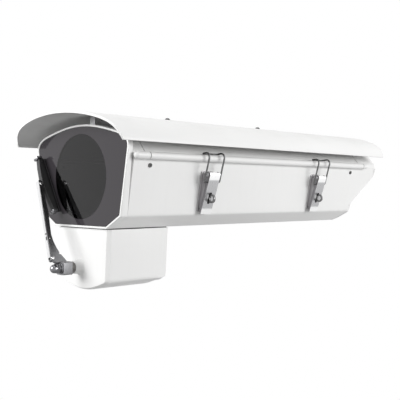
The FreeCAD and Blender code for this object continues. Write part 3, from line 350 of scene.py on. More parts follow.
def mapRange(nodes, links, value, low, high, toLow=0.0, toHigh=1.0):
    node = nodes.new("ShaderNodeMapRange")
    for label, number in (("From Min", low), ("From Max", high), ("To Min", toLow), ("To Max", toHigh)):
        node.inputs[label].default_value = number
    links.new(value, node.inputs["Value"])
    return node.outputs["Result"]


def mathNode(nodes, links, kind, a, b=None, clamp=False):
    node = nodes.new("ShaderNodeMath")
    node.operation = kind
    node.use_clamp = clamp
    for value, socket in zip((a, b), node.inputs):
        feed(links, value, socket)
    return node.outputs[0]


def vectorMath(nodes, links, kind, a, b=None):
    node = nodes.new("ShaderNodeVectorMath")
    node.operation = kind
    for value, socket in zip((a, b), node.inputs):
        feed(links, value, socket)
    return node


def bumpNormal(nodes, links, depth, height):
    bump = nodes.new("ShaderNodeBump")
    bump.inputs["Strength"].default_value = 1.0
    links.new(depth, bump.inputs["Distance"])
    links.new(height, bump.inputs["Height"])
    return bump.outputs["Normal"]


def objectPlace(nodes):
    return nodes.new("ShaderNodeTexCoord").outputs["Object"]


def edgeWearGroup():
    # mask that is high where the surface turns within a small distance
    group, nodes, links, given, out = newGroup(
        "housingEdgeWear",
        [("Width", "NodeSocketFloat", 0.0006), ("Breakup", "NodeSocketFloat", 260.0)],
        [("Mask", "NodeSocketFloat")])
    place = objectPlace(nodes)
    geometry = nodes.new("ShaderNodeNewGeometry")
    bevel = nodes.new("ShaderNodeBevel")
    bevel.samples = 4
    links.new(given.outputs["Width"], bevel.inputs["Radius"])
    dot = vectorMath(nodes, links, "DOT_PRODUCT", bevel.outputs["Normal"], geometry.outputs["Normal"])
    turn = mapRange(nodes, links, dot.outputs["Value"], 0.995, 0.86)
    grain = noiseNode(nodes, links, place, given.outputs["Breakup"], 4.0, 0.62)
    broken = mapRange(nodes, links, grain.outputs["Fac"], 0.42, 0.66)
    links.new(mathNode(nodes, links, "MULTIPLY", turn, broken, True), out.inputs["Mask"])
    return group


def weatherGroup():
    # dust that lies on faces that look up, and faint runs down the sides
    group, nodes, links, given, out = newGroup(
        "housingWeather",
        [("Dust Scale", "NodeSocketFloat", 24.0)],
        [("Dust", "NodeSocketFloat"), ("Runs", "NodeSocketFloat"), ("Drift", "NodeSocketFloat")])
    place = objectPlace(nodes)
    geometry = nodes.new("ShaderNodeNewGeometry")
    up = nodes.new("ShaderNodeSeparateXYZ")
    links.new(geometry.outputs["Normal"], up.inputs["Vector"])
    facing = mapRange(nodes, links, up.outputs["Z"], 0.35, 0.98)
    cloud = noiseNode(nodes, links, place, given.outputs["Dust Scale"], 6.0, 0.6)
    patch = mapRange(nodes, links, cloud.outputs["Fac"], 0.36, 0.70)
    links.new(mathNode(nodes, links, "MULTIPLY", facing, patch, True), out.inputs["Dust"])
    stretch = nodes.new("ShaderNodeMapping")
    stretch.inputs["Scale"].default_value = (150.0, 150.0, 7.0)
    links.new(place, stretch.inputs["Vector"])
    run = noiseNode(nodes, links, stretch.outputs["Vector"], 1.0, 3.0, 0.55)
    side = mapRange(nodes, links, mathNode(nodes, links, "ABSOLUTE", up.outputs["Z"]), 0.75, 0.2)
    thin = mapRange(nodes, links, run.outputs["Fac"], 0.52, 0.78)
    links.new(mathNode(nodes, links, "MULTIPLY", side, thin, True), out.inputs["Runs"])
    slow = noiseNode(nodes, links, place, 9.0, 2.0, 0.5)
    links.new(slow.outputs["Fac"], out.inputs["Drift"])
    return group


def surfaceGroup(name, coarse, fine, mix, detail):
    # a height made of two sizes of noise, as a bumped normal and as a value
    group, nodes, links, given, out = newGroup(
        name, [("Depth", "NodeSocketFloat", 0.00002)],
        [("Normal", "NodeSocketVector"), ("Height", "NodeSocketFloat")])
    place = objectPlace(nodes)
    big = noiseNode(nodes, links, place, coarse, detail, 0.5)
    small = noiseNode(nodes, links, place, fine, 2.0, 0.5)
    share = mathNode(nodes, links, "MULTIPLY", small.outputs["Fac"], mix)
    height = mathNode(nodes, links, "ADD", big.outputs["Fac"], share)
    links.new(bumpNormal(nodes, links, given.outputs["Depth"], height), out.inputs["Normal"])
    links.new(height, out.inputs["Height"])
    return group


def streakGroup():
    # fine drawn or brushed lines along one axis, with a few longer scratches
    group, nodes, links, given, out = newGroup(
        "drawnMetalLines",
        [("Stretch", "NodeSocketVector", (900.0, 60.0, 900.0)), ("Depth", "NodeSocketFloat", 0.000004)],
        [("Lines", "NodeSocketFloat"), ("Scratches", "NodeSocketFloat"), ("Normal", "NodeSocketVector")])
    place = objectPlace(nodes)
    scaled = vectorMath(nodes, links, "MULTIPLY", place, given.outputs["Stretch"])
    lines = noiseNode(nodes, links, scaled.outputs["Vector"], 1.0, 5.0, 0.6)
    links.new(lines.outputs["Fac"], out.inputs["Lines"])
    scratch = noiseNode(nodes, links, scaled.outputs["Vector"], 0.35, 2.0, 0.5)
    links.new(mapRange(nodes, links, scratch.outputs["Fac"], 0.66, 0.72), out.inputs["Scratches"])
    links.new(bumpNormal(nodes, links, given.outputs["Depth"], lines.outputs["Fac"]), out.inputs["Normal"])
    return group


edgeWear = edgeWearGroup()
weather = weatherGroup()
powderSkin = surfaceGroup("powderCoatSkin", 420.0, 1500.0, 0.35, 2.0)
castSkin = surfaceGroup("castMetalSkin", 700.0, 2600.0, 0.6, 5.0)
softSkin = surfaceGroup("rubberSkin", 900.0, 3200.0, 0.5, 4.0)
drawnLines = streakGroup()
print("stage: shader groups ready")


def newMaterial(name):
    material = bpy.data.materials.new(name)
    material.use_nodes = True
    nodes, links = material.node_tree.nodes, material.node_tree.links
    return material, nodes, links, nodes["Principled BSDF"]


def useGroup(nodes, group, **values):
    # a shared group placed in a material with its own values
    node = nodes.new("ShaderNodeGroup")
    node.node_tree = group
    for label, value in values.items():
        node.inputs[label.replace("_", " ")].default_value = value
    return node


def mixColour(nodes, links, factor, a, b):
    node = nodes.new("ShaderNodeMix")
    node.data_type = "RGBA"
    feed(links, factor, node.inputs["Factor"])
    for label, value in (("A", a), ("B", b)):
        socket = [s for s in node.inputs if s.name == label and s.type == "RGBA"][0]
        feed(links, (*value, 1.0) if isinstance(value, (tuple, list)) else value, socket)
    return [s for s in node.outputs if s.type == "RGBA"][0]


def blendShaders(nodes, links, share, first, second, output):
    # the first shader where the share is 0, the second where it is 1
    mix = nodes.new("ShaderNodeMixShader")
    for value, socket in zip((share, first, second), mix.inputs):
        links.new(value, socket)
    links.new(mix.outputs["Shader"], nodes[output].inputs["Surface"])


# colours of the dirt on coated, cast and soft surfaces
dirtTones = {"coatDust": (0.52, 0.49, 0.44), "coatRuns": (0.36, 0.34, 0.31), "castDust": (0.30, 0.29, 0.27),
             "softDust": (0.34, 0.32, 0.29)}


def setSurface(links, shader, colour, rough, normal=None):
    # where a material's colour, roughness and normal come from
    for value, label in ((colour, "Base Color"), (rough, "Roughness"), (normal, "Normal")):
        feed(links, value, shader.inputs[label])


def coatedMetal(name, colour, under, rough=0.34, dust=0.10, runs=0.025, wear=0.35, skin=0.00002):
    # powder coat: orange peel, slow drift in tone, dust on top, thin runs, edges rubbed lighter
    material, nodes, links, shader = newMaterial(name)
    dirt = useGroup(nodes, weather)
    edge = useGroup(nodes, edgeWear)
    peel = useGroup(nodes, powderSkin, Depth=skin)
    drift = mapRange(nodes, links, dirt.outputs["Drift"], 0.3, 0.7)
    tone = mixColour(nodes, links, drift, colour, [c * 0.975 for c in colour])
    dusty = mixColour(nodes, links, mathNode(nodes, links, "MULTIPLY", dirt.outputs["Dust"], dust),
                      tone, dirtTones["coatDust"])
    streaked = mixColour(nodes, links, mathNode(nodes, links, "MULTIPLY", dirt.outputs["Runs"], runs),
                         dusty, dirtTones["coatRuns"])
    worn = mathNode(nodes, links, "MULTIPLY", edge.outputs["Mask"], wear)
    polish = mathNode(nodes, links, "MULTIPLY", dirt.outputs["Dust"], 0.25)
    base = mapRange(nodes, links, peel.outputs["Height"], 0.4, 1.0, rough - 0.04, rough + 0.06)
    setSurface(links, shader, mixColour(nodes, links, worn, streaked, under),
               mathNode(nodes, links, "ADD", base, polish, True), peel.outputs["Normal"])
    shader.inputs["Specular IOR Level"].default_value = 0.45
    return material


def bareMetal(name, colour, rough, stretch=(900.0, 60.0, 900.0), depth=0.0000015, tarnish=0.2, wear=0.3,
              fade=()):
    # drawn or pressed steel: lines along its grain, duller patches, edges rubbed bright
    material, nodes, links, shader = newMaterial(name)
    lines = useGroup(nodes, drawnLines, Stretch=stretch, Depth=depth)
    dirt = useGroup(nodes, weather, Dust_Scale=70.0)
    edge = useGroup(nodes, edgeWear, Width=0.0004, Breakup=420.0)
    patch = mapRange(nodes, links, dirt.outputs["Drift"], 0.35, 0.7)
    dull = mathNode(nodes, links, "MULTIPLY", patch, tarnish)
    tone = mixColour(nodes, links, dull, colour, [c * 0.62 for c in colour])
    if fade:
        # another tone from one height to the next: (first height, second height, colour)
        place = objectPlace(nodes)
        split = nodes.new("ShaderNodeSeparateXYZ")
        links.new(place, split.inputs["Vector"])
        for first, second, other in fade:
            share = mapRange(nodes, links, split.outputs["Z"], first, second)
            tone = mixColour(nodes, links, share, tone, other)
    grained = mixColour(nodes, links, mathNode(nodes, links, "MULTIPLY", lines.outputs["Lines"], 0.30),
                        tone, [c * 0.72 for c in colour])
    bright = mathNode(nodes, links, "MULTIPLY", edge.outputs["Mask"], wear)
    base = mapRange(nodes, links, lines.outputs["Lines"], 0.3, 0.7, rough - 0.07, rough + 0.09)
    scratched = mathNode(nodes, links, "MULTIPLY", lines.outputs["Scratches"], 0.12)
    setSurface(links, shader, mixColour(nodes, links, bright, grained, [min(1.0, c * 1.25) for c in colour]),
               mathNode(nodes, links, "ADD", base, scratched, True), lines.outputs["Normal"])
    shader.inputs["Metallic"].default_value = 1.0
    return material


def castMetal(name, colour, rough, depth=0.00005):
    # die cast or mill finish aluminium
    material, nodes, links, shader = newMaterial(name)
    skin = useGroup(nodes, castSkin, Depth=depth)
    dirt = useGroup(nodes, weather, Dust_Scale=90.0)
    edge = useGroup(nodes, edgeWear, Width=0.0005, Breakup=500.0)
    pits = mapRange(nodes, links, skin.outputs["Height"], 0.55, 1.05)
    tone = mixColour(nodes, links, pits, [c * 0.8 for c in colour], colour)
    grey = mixColour(nodes, links, mathNode(nodes, links, "MULTIPLY", dirt.outputs["Dust"], 0.3),
                     tone, dirtTones["castDust"])
    rubbed = mathNode(nodes, links, "MULTIPLY", edge.outputs["Mask"], 0.5)
    setSurface(links, shader, mixColour(nodes, links, rubbed, grey, [min(1.0, c * 1.2) for c in colour]),
               mapRange(nodes, links, skin.outputs["Height"], 0.4, 1.2, rough + 0.1, rough - 0.08),
               skin.outputs["Normal"])
    shader.inputs["Metallic"].default_value = 1.0
    return material


def softPlastic(name, colour, rough, depth=0.00003, dust=0.25, specular=0.4):
    # rubber and moulded plastic
    material, nodes, links, shader = newMaterial(name)
    skin = useGroup(nodes, softSkin, Depth=depth)
    dirt = useGroup(nodes, weather, Dust_Scale=60.0)
    edge = useGroup(nodes, edgeWear, Width=0.0005, Breakup=350.0)
    chalk = [min(1.0, c * 1.6 + 0.03) for c in colour]
    pale = mathNode(nodes, links, "MULTIPLY", dirt.outputs["Dust"], dust)
    tone = mixColour(nodes, links, pale, colour, dirtTones["softDust"])
    rubbed = mathNode(nodes, links, "MULTIPLY", edge.outputs["Mask"], 0.45)
    setSurface(links, shader, mixColour(nodes, links, rubbed, tone, chalk),
               mapRange(nodes, links, skin.outputs["Height"], 0.4, 1.2, rough - 0.05, rough + 0.08),
               skin.outputs["Normal"])
    shader.inputs["Specular IOR Level"].default_value = specular
    return material


# the round clear part of the window, in metres: height of its middle, radius, and how soft its edge is
aperture = {"height": 0.0554, "radius": 0.0465, "blur": 0.0002}


def windowGlass(name, tint, printed):
    # tinted flat glass with a faint film; outside the round aperture its back is printed dark
    material, nodes, links, shader = newMaterial(name)
    place = objectPlace(nodes)
    dust = noiseNode(nodes, links, place, 160.0, 6.0, 0.65)
    film = mapRange(nodes, links, dust.outputs["Fac"], 0.35, 0.75, 0.02, 0.07)
    tone = mixColour(nodes, links, mapRange(nodes, links, dust.outputs["Fac"], 0.4, 0.7),
                     tint, [c * 0.96 for c in tint])
    setSurface(links, shader, tone, film)
    shader.inputs["Transmission Weight"].default_value = 1.0
    shader.inputs["IOR"].default_value = 1.42
    ink = nodes.new("ShaderNodeBsdfPrincipled")
    speck = noiseNode(nodes, links, place, 1800.0, 2.0, 0.6)
    inkTone = mixColour(nodes, links, speck.outputs["Fac"], printed, [c * 0.86 for c in printed])
    setSurface(links, ink, inkTone, film)
    ink.inputs["IOR"].default_value = 1.42
    centre = vectorMath(nodes, links, "SUBTRACT", place, (0.0, 0.0, aperture["height"]))
    flat = vectorMath(nodes, links, "MULTIPLY", centre.outputs["Vector"], (1.0, 0.0, 1.0))
    length = vectorMath(nodes, links, "LENGTH", flat.outputs["Vector"])
    radius, blur = aperture["radius"], aperture["blur"]
    border = mapRange(nodes, links, length.outputs["Value"], radius - blur, radius + blur)
    blendShaders(nodes, links, border, shader.outputs["BSDF"], ink.outputs["BSDF"], "Material Output")
    return material


def printedMask(name, colour, spot):
    # dark printed border seen through the glass
    material, nodes, links, shader = newMaterial(name)
    place = objectPlace(nodes)
    speck = noiseNode(nodes, links, place, 2200.0, 2.0, 0.6)
    share = mapRange(nodes, links, speck.outputs["Fac"], 0.35, 0.65)
    setSurface(links, shader, mixColour(nodes, links, share, colour, spot),
               mapRange(nodes, links, speck.outputs["Fac"], 0.3, 0.7, 0.5, 0.65))
    return material


white, rubbedWhite = (0.80, 0.80, 0.795), (0.88, 0.88, 0.87)
# how finely the drawn lines run along x, y and z
alongWall, alongArm, alongY = (900.0, 900.0, 60.0), (900.0, 900.0, 70.0), (900.0, 60.0, 900.0)
evenGrain = (500.0, 500.0, 500.0)
looks = {
    "frameCoat": coatedMetal("frontFramePowderCoat", white, rubbedWhite, rough=0.33),
    "trayCoat": coatedMetal("trayPowderCoat", white, rubbedWhite, rough=0.36, runs=0.03),
    "capCoat": coatedMetal("rearCapPowderCoat", white, rubbedWhite, rough=0.35),
    "lidCoat": coatedMetal("lidPowderCoat", white, rubbedWhite, rough=0.35, dust=0.14),
    "shieldCoat": coatedMetal("sunshieldPowderCoat", (0.79, 0.79, 0.785), (0.9, 0.9, 0.89),
                              rough=0.38, dust=0.07),
    # a greyer copy of the shield's coat for its underside: painted shade
    "shieldUnderShadeCoat": coatedMetal("sunshieldUndersidePaintedShade", (0.66, 0.66, 0.655), (0.8, 0.8, 0.79),
                                   rough=0.45),
    "boxCoat": coatedMetal("wiperBoxPowderCoat", white, rubbedWhite, rough=0.34, dust=0.05),
    "hingeCoat": coatedMetal("hingeLeafPowderCoat", (0.76, 0.76, 0.755), (0.6, 0.6, 0.6),
                             rough=0.4, wear=0.6),
    "railMill": castMetal("shieldRailMillFinish", (0.70, 0.70, 0.71), 0.36, 0.00002),
    "screwSteel": bareMetal("stainlessScrewSteel", (0.60, 0.60, 0.60), 0.30, evenGrain),
    # the lever's rolled top gets a painted highlight, and towards its foot it is made near white
    "highlitPressedSteel": bareMetal("latchPressedSteelPaintedHighlight", (0.50, 0.50, 0.51), 0.30, alongWall,
                              fade=[(0.0515, 0.0535, (0.95, 0.95, 0.95)),
                                    (0.0215, 0.0195, (0.92, 0.92, 0.92))]),
    # a darker copy of the lever's steel for its flat sides: painted shade
    "leverSideShadeSteel": bareMetal("latchLeverSidePaintedShade", (0.27, 0.262, 0.275), 0.34, alongWall, wear=0.6),
    "baseSteel": bareMetal("latchBaseSteel", (0.50, 0.49, 0.50), 0.38, alongWall),
    "eyeSteel": bareMetal("padlockEyeSteel", (0.22, 0.22, 0.22), 0.30, alongWall),
    "wireSteel": bareMetal("bailWireSteel", (0.16, 0.16, 0.162), 0.32, (900.0, 900.0, 120.0)),
    "darkScrew": bareMetal("blackedScrewSteel", (0.10, 0.10, 0.10), 0.34, evenGrain, wear=0.5),
    "pinSteel": bareMetal("hingePinSteel", (0.55, 0.55, 0.56), 0.28, alongY),
    # a darker copy of the arm's steel for its flanges: painted reflection of dark surroundings, darker still
    # towards the top
    "flangeReflectionSteel": bareMetal("wiperArmFlangePaintedReflection", (0.34, 0.34, 0.35), 0.32, alongArm, wear=0.5,
                             fade=[(-0.045, 0.03, (0.12, 0.12, 0.122))]),
    "armSteel": bareMetal("wiperArmSteel", (0.80, 0.80, 0.81), 0.26, alongArm, tarnish=0.15),
    "rivetSteel": bareMetal("polishedRivetSteel", (0.78, 0.78, 0.78), 0.16, evenGrain, tarnish=0.1),
    "springSteel": bareMetal("armSpringSteel", (0.24, 0.24, 0.24), 0.38, evenGrain),
    "nutSteel": bareMetal("domeNutSteel", (0.23, 0.23, 0.24), 0.22, evenGrain),
    "canSteel": bareMetal("motorCanSteel", (0.50, 0.50, 0.51), 0.35, alongY),
    "headCast": castMetal("wiperHeadCasting", (0.28, 0.28, 0.29), 0.42),
    "gearCast": castMetal("gearboxCasting", (0.60, 0.60, 0.61), 0.42, 0.00008),
    "sledMill": castMetal("cameraSledMillFinish", (0.66, 0.66, 0.67), 0.34, 0.00002),
    "brass": castMetal("turnedBrassBush", (0.50, 0.40, 0.22), 0.34, 0.00002),
    "bushBronze": castMetal("darkBronzeBush", (0.17, 0.166, 0.160), 0.42, 0.00002),
    "bladeBlack": coatedMetal("bladeHolderBlack", (0.028, 0.028, 0.029), (0.12, 0.12, 0.12),
                              rough=0.62, dust=0.06, runs=0.0, wear=0.25),
    "clipBlack": bareMetal("bladeClipBlackedSteel", (0.26, 0.26, 0.27), 0.30, evenGrain),
    "heaterBlack": coatedMetal("windowHeaterBlack", (0.04, 0.04, 0.042), (0.3, 0.3, 0.3),
                               rough=0.45, dust=0.2),
    "sealRubber": softPlastic("blackSealRubber", (0.022, 0.022, 0.023), 0.62),
    "wiperRubber": softPlastic("wiperBladeRubber", (0.018, 0.018, 0.019), 0.55, dust=0.15),
    "glandPlastic": softPlastic("glandMouldedPlastic", (0.035, 0.035, 0.037), 0.42, 0.00002),
    "terminalGreen": softPlastic("terminalMouldedPlastic", (0.05, 0.22, 0.09), 0.4, 0.00002),
    "boardGreen": softPlastic("terminalBoardLaminate", (0.03, 0.14, 0.06), 0.3, 0.00001, specular=0.5),
    "windowGlass": windowGlass("tintedWindowGlass", (0.078, 0.073, 0.082), (0.042, 0.038, 0.043)),
    "windowMask": printedMask("windowPrintedMask", (0.13, 0.125, 0.135), (0.11, 0.108, 0.115)),
}
# the nodes that stay as they are carried over; one that is not listed has plain screw steel
finishes = {
    "darkScrew": "casting_screws", "windowGlass": "window_glass", "windowMask": "aperture_mask",
    "railMill": "rail_feet", "sealRubber": "window_seal lid_seal wiper_box_seal gland_seals",
    "glandPlastic": "gland_bodies gland_caps", "terminalGreen": "terminal_block",
    "boardGreen": "terminal_board", "brass": "board_posts", "bushBronze": "spindle_bush",
    "sledMill": "camera_sled sled_posts mount_doubler", "heaterBlack": "window_heater",
    "gearCast": "gearbox", "canSteel": "wiper_motor", "nutSteel": "spindle", "pinSteel": "hinge_pins",
    "hingeCoat": "hinge_tray_leaf_front hinge_tray_leaf_rear hinge_lid_leaf_front hinge_lid_leaf_rear",
}
nodeLooks = {node: look for look, names in finishes.items() for node in names.split()}
for node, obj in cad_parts.items():
    obj.data.materials.clear()
    obj.data.materials.append(looks[nodeLooks.get(node, "screwSteel")])
    obj.data.shade_smooth()
    obj.data.set_sharp_from_angle(angle=math.radians(30.0))
print("stage: finishes on the carried-over nodes")


# sheet metal and castings

# top of the lid's upright edge (x, z), the rear cap's back, the sunshield's crest and the screws on it
lidEdge = (79.4, 80.2)
rearY = 468.0
shieldTop = 124.2
shieldScrewY, railScrewY = (129.0, 297.0), (70.0, 212.0, 355.0)
# half sections (x, z) of the sheets, and the side line (y, z) of the folded rear end
lines = {
    "trayHalf": [(0.0, 0.0), (47.0, 0.0), (71.0, 13.6), (81.637, 74.6)],
    "frameHalf": [(0.0, 0.0), (47.0, 0.0), (71.0, 13.6), (83.5, 85.5)],
    "frameArch": [(83.5, 85.5), (82.4, 91.5), (77.0, 97.0), (63.0, 102.4), (43.0, 107.1), (21.0, 110.8),
                  (0.0, 112.0)],
    "lidArch": [(70.5, 91.0), (65.0, 96.2), (57.0, 99.8), (41.0, 104.1), (20.5, 107.2), (0.0, 108.2)],
    "rearFold": [(409.0, 0.0), (414.0, 3.5), (416.5, 12.0), (416.5, 22.0), (420.0, 27.5), (460.0, 59.5),
                 (466.0, 65.0), (rearY, 71.0), (rearY, 116.0)],
}


def lidLine(lowZ, corner=1.6):
    # right edge, flank, arch over the top, and the same down the left side
    arch = smoothThrough(mirrored(lines["lidArch"]), 61)
    right = np.array([(lidEdge[0], lowZ), lidEdge])
    flip = (right * (-1.0, 1.0))[::-1]
    radii = [0.0, corner, corner] + [0.0] * (len(arch) - 2) + [corner, corner, 0.0]
    return roundCorners(np.vstack([right, arch, flip]), radii, 4)[0]


def trayLine(corner=4.5):
    # flat floor, chamfers and leaning walls, each bend an arc
    return roundCorners(mirrored(lines["trayHalf"]), [0.0, corner, corner, 0.0, corner, corner, 0.0], 5)[0]


def rodY(x, z, radius, start, end, noseStart=False, noseEnd=False):
    # a round rod along y; each end is a half ball, or flat with a small chamfer
    arc = np.linspace(0.0, np.pi / 2.0, 9)
    lead = np.stack([start - radius * np.cos(arc), radius * np.sin(arc)], axis=-1) if noseStart \
        else np.array([(start, 0.0), (start, radius - 0.3), (start + 0.3, radius)])
    tail = np.stack([end + radius * np.cos(arc[::-1]), radius * np.sin(arc[::-1])], axis=-1) if noseEnd \
        else np.array([(end - 0.3, radius), (end, radius - 0.3), (end, 0.0)])
    return lathe(np.vstack([lead, tail]), (x, 0.0, z), (0.0, 1.0, 0.0), 36)


bead = {"x": 85.4, "z": 76.8, "radius": 3.9, "webLow": 77.4, "webHigh": 79.4, "webIn": 77.4}


def beadParts(start, end, noseStart=False, noseEnd=False):
    # the bead along both edges, and the web that joins it to the sheet
    parts = []
    for side in (1.0, -1.0):
        parts.append(rodY(side * bead["x"], bead["z"], bead["radius"], start, end, noseStart, noseEnd))
        web = oblong(side * bead["webIn"], side * bead["x"], bead["webLow"], bead["webHigh"])
        parts.append(slab(web, acrossY, start, end))
    return parts


rim = {
    # share of the ledge's width, and depth behind the front
    "section": [(0.0, 9.0), (0.0, 6.0), (0.0, 3.2), (0.0, 0.75), (0.025, 0.2), (0.08, 0.0), (0.175, 0.0),
                (0.232, 0.2), (0.256, 0.75), (0.256, 7.1), (1.0, 7.1), (1.0, 9.0)],
    "ledge": 9.0, "collarEnd": 25.3, "sleeveEnd": 38.0, "sleeveThick": 2.5,
    # above this height the rim's side falls back: furthest x, fall per mm of depth, and where it begins
    "fallHeight": 64.5, "sideLimit": 83.9, "sideFall": 0.66, "fallDepth": 3.2,
}
# collar at each end of the lid: its lower edge and wall, and the lower edge of the laps below it
collar = {"low": 74.9, "thick": 2.0, "lapLow": 77.6}


def rimLoop():
    # the outline of the frame, with its inset line; rounded corners share one inset point
    arch = smoothThrough(mirrored(lines["frameArch"]), 65)
    low = np.array(lines["frameHalf"])
    corners = np.vstack([low[1:3], arch, (low[1:3] * (-1.0, 1.0))[::-1]])
    inner = offsetLine(corners, rim["ledge"], closed=True)
    radii = [2.4, 2.4] + [0.0] * len(arch) + [2.4, 2.4]
    outer, source = roundCorners(corners, radii, 5, closed=True)
    return outer, inner[source]


def rimPart():
    # the section carried round the outline: point = outline + share of the way to the inset line
    outer, inner = rimLoop()
    section = np.array(rim["section"])
    share = section[None, :, 0, None]
    flat = outer[:, None] + (inner - outer)[:, None] * share
    depth = section[None, :, 1]
    # above the wall the side of the rim falls back towards the flank
    x, z = flat[..., 0], flat[..., 1]
    limit = rim["sideLimit"] - rim["sideFall"] * np.clip(depth - rim["fallDepth"], 0.0, None)
    weight = np.clip((z - rim["fallHeight"]) / 3.0, 0.0, 1.0)
    over = np.clip(np.abs(x) - limit, 0.0, None) * weight
    x = x - np.sign(x) * over
    return ringSweep(stackPoints(x, depth, z))


def sleeveParts(start, end):
    # side walls of the lap that reaches into the tray
    parts = []
    line = np.array([(56.0, 9.2), (68.0, 17.5), (78.05, 71.8)])
    for side in (1.0, -1.0):
        outer = line * (side, 1.0)
        parts.append(sheetStrip(outer, offsetLine(outer, side * rim["sleeveThick"]), start, end))
    return parts


def collarParts(start, end, laps):
    # a sheet in line with the lid and the laps that its end rests on; a lap is given by how far
    # its two faces lie inside the lid's line, and where it starts and ends
    line, low = lidLine(collar["low"]), lidLine(collar["lapLow"], 0.0)
    parts = [sheetStrip(line, offsetLine(line, collar["thick"]), start, end)]
    for near, far, lapStart, lapEnd in laps:
        parts.append(sheetStrip(offsetLine(low, near), offsetLine(low, far), lapStart, lapEnd))
    return parts


def makeFrontFrame():
    # the rim round the window, a collar in line with the lid, the lap below it and the side walls
    settings = {"start": 8.8, "lapEnd": 37.0, "stepEnd": 14.0, "beadStart": 10.0}
    start = settings["start"]
    laps = [(4.5, 7.0, start, settings["lapEnd"]), (1.9, 6.9, start, settings["stepEnd"])]
    parts = [rimPart()] + collarParts(start, rim["collarEnd"], laps) + sleeveParts(start, rim["sleeveEnd"])
    parts += beadParts(settings["beadStart"], rim["collarEnd"], True, False)
    addPiece("front_frame_casting", parts, looks["frameCoat"], stands=("front_frame",), soft=0.45)


def edgeStrips(section, run):
    # a flat strip along both edges: its section from x to x and from z to z, its run along y
    near, far, low, high = section
    return [slab(oblong(side * near, side * far, low, high), acrossY, *run) for side in (1.0, -1.0)]


def makeTray():
    # the tray's line carried along y up to the folded rear end, with a flat land along each edge
    settings = {"start": 9.05, "thick": 2.5, "capGap": 3.3, "land": (70.0, 79.6, 72.1, 74.6),
                "landRun": (14.0, 428.0)}
    fold = np.array(lines["rearFold"])
    line = withHeights(trayLine(), fold[1:-1, 1])
    rear = np.interp(line[:, 1], fold[:, 1], fold[:, 0]) - settings["capGap"]
    parts = [sheetStrip(line, offsetLine(line, settings["thick"]), settings["start"], rear)]
    parts += edgeStrips(settings["land"], settings["landRun"])
    addPiece("base_tray_pressing", parts, looks["trayCoat"], stands=("base_tray",), soft=0.5)


def makeLid():
    # the lid's line carried along y, its edge beads and the folded feet that stand on the seal
    settings = {"start": 26.4, "end": 424.6, "thick": 2.0, "low": 77.4, "foot": (77.6, 72.4, 77.4, 79.2),
                "footRun": (38.0, 413.0)}
    line = lidLine(settings["low"])
    parts = [sheetStrip(line, offsetLine(line, settings["thick"]), settings["start"], settings["end"], 3)]
    parts += beadParts(settings["start"], settings["end"])
    parts += edgeStrips(settings["foot"], settings["footRun"])
    addPiece("lid_extrusion", parts, looks["lidCoat"], "lid_group", ("lid",), soft=0.35)


def makeSunshield():
    # an arch carried along y; its front edge leans forward with height
    settings = {"rear": 463.5, "thick": 2.5, "lip": (-17.8, 90.2), "crest": (-31.5, 124.6)}
    arch = smoothThrough(mirrored([(97.8, 92.6), (94.2, 100.2), (86.0, 108.2), (76.0, 113.0), (60.0, 117.7),
                                   (40.0, 121.4), (20.0, 123.5), (0.0, shieldTop)]), 81)
    line = np.vstack([[(97.8, 90.2)], arch, [(-97.8, 90.2)]])
    (lipY, lipZ), (crestY, crestZ) = settings["lip"], settings["crest"]
    front = lipY + (line[:, 1] - lipZ) * (crestY - lipY) / (crestZ - lipZ)
    parts = [sheetStrip(line, offsetLine(line, settings["thick"]), front, settings["rear"], 4)]
    holes = [lathe(barrel(118.0, 130.0, 2.3), (0.0, y, 0.0), (0, 0, 1), 24) for y in shieldScrewY]
    shield = addPiece("sunshield_sheet", parts, looks["shieldCoat"], "lid_group", ("sunshield",), soft=0.45,
                      cuts=holes)
    # the underside gets a greyer copy of the coat: painted shade where less light reaches
    paintFaces(shield, looks["shieldUnderShadeCoat"], lambda normals: normals[:, 2] < -0.35)


def makeRail():
    # a rectangular tube with a plug just inside each end
    settings = {"outer": (4.5, -4.5, 109.2, 121.6), "inner": (2.7, -2.7, 111.7, 119.1),
                "plug": (2.75, -2.75, 111.65, 119.15), "plugLength": 3.0, "recess": 0.2,
                "start": 17.0, "end": 440.0, "bore": 2.0}
    start, end = settings["start"], settings["end"]
    rings = [[(x, y, z) for x, z in oblong(*settings[wall])]
             for wall, y in (("outer", start), ("outer", end), ("inner", end), ("inner", start))]
    parts = [ringSweep(rings)]
    for y in (start + settings["recess"], end - settings["recess"] - settings["plugLength"]):
        parts.append(slab(oblong(*settings["plug"]), acrossY, y, y + settings["plugLength"]))
    bore = barrel(0.0, 7.0, settings["bore"])
    holes = [lathe(bore, (0.0, y, 116.0), (0, 0, 1), 24) for y in shieldScrewY]
    holes += [lathe(bore, (0.0, y, 106.0), (0, 0, 1), 24) for y in railScrewY]
    addPiece("shield_rail_tube", parts, looks["railMill"], "lid_group", ("shield_rail",), soft=0.3,
             cuts=holes)


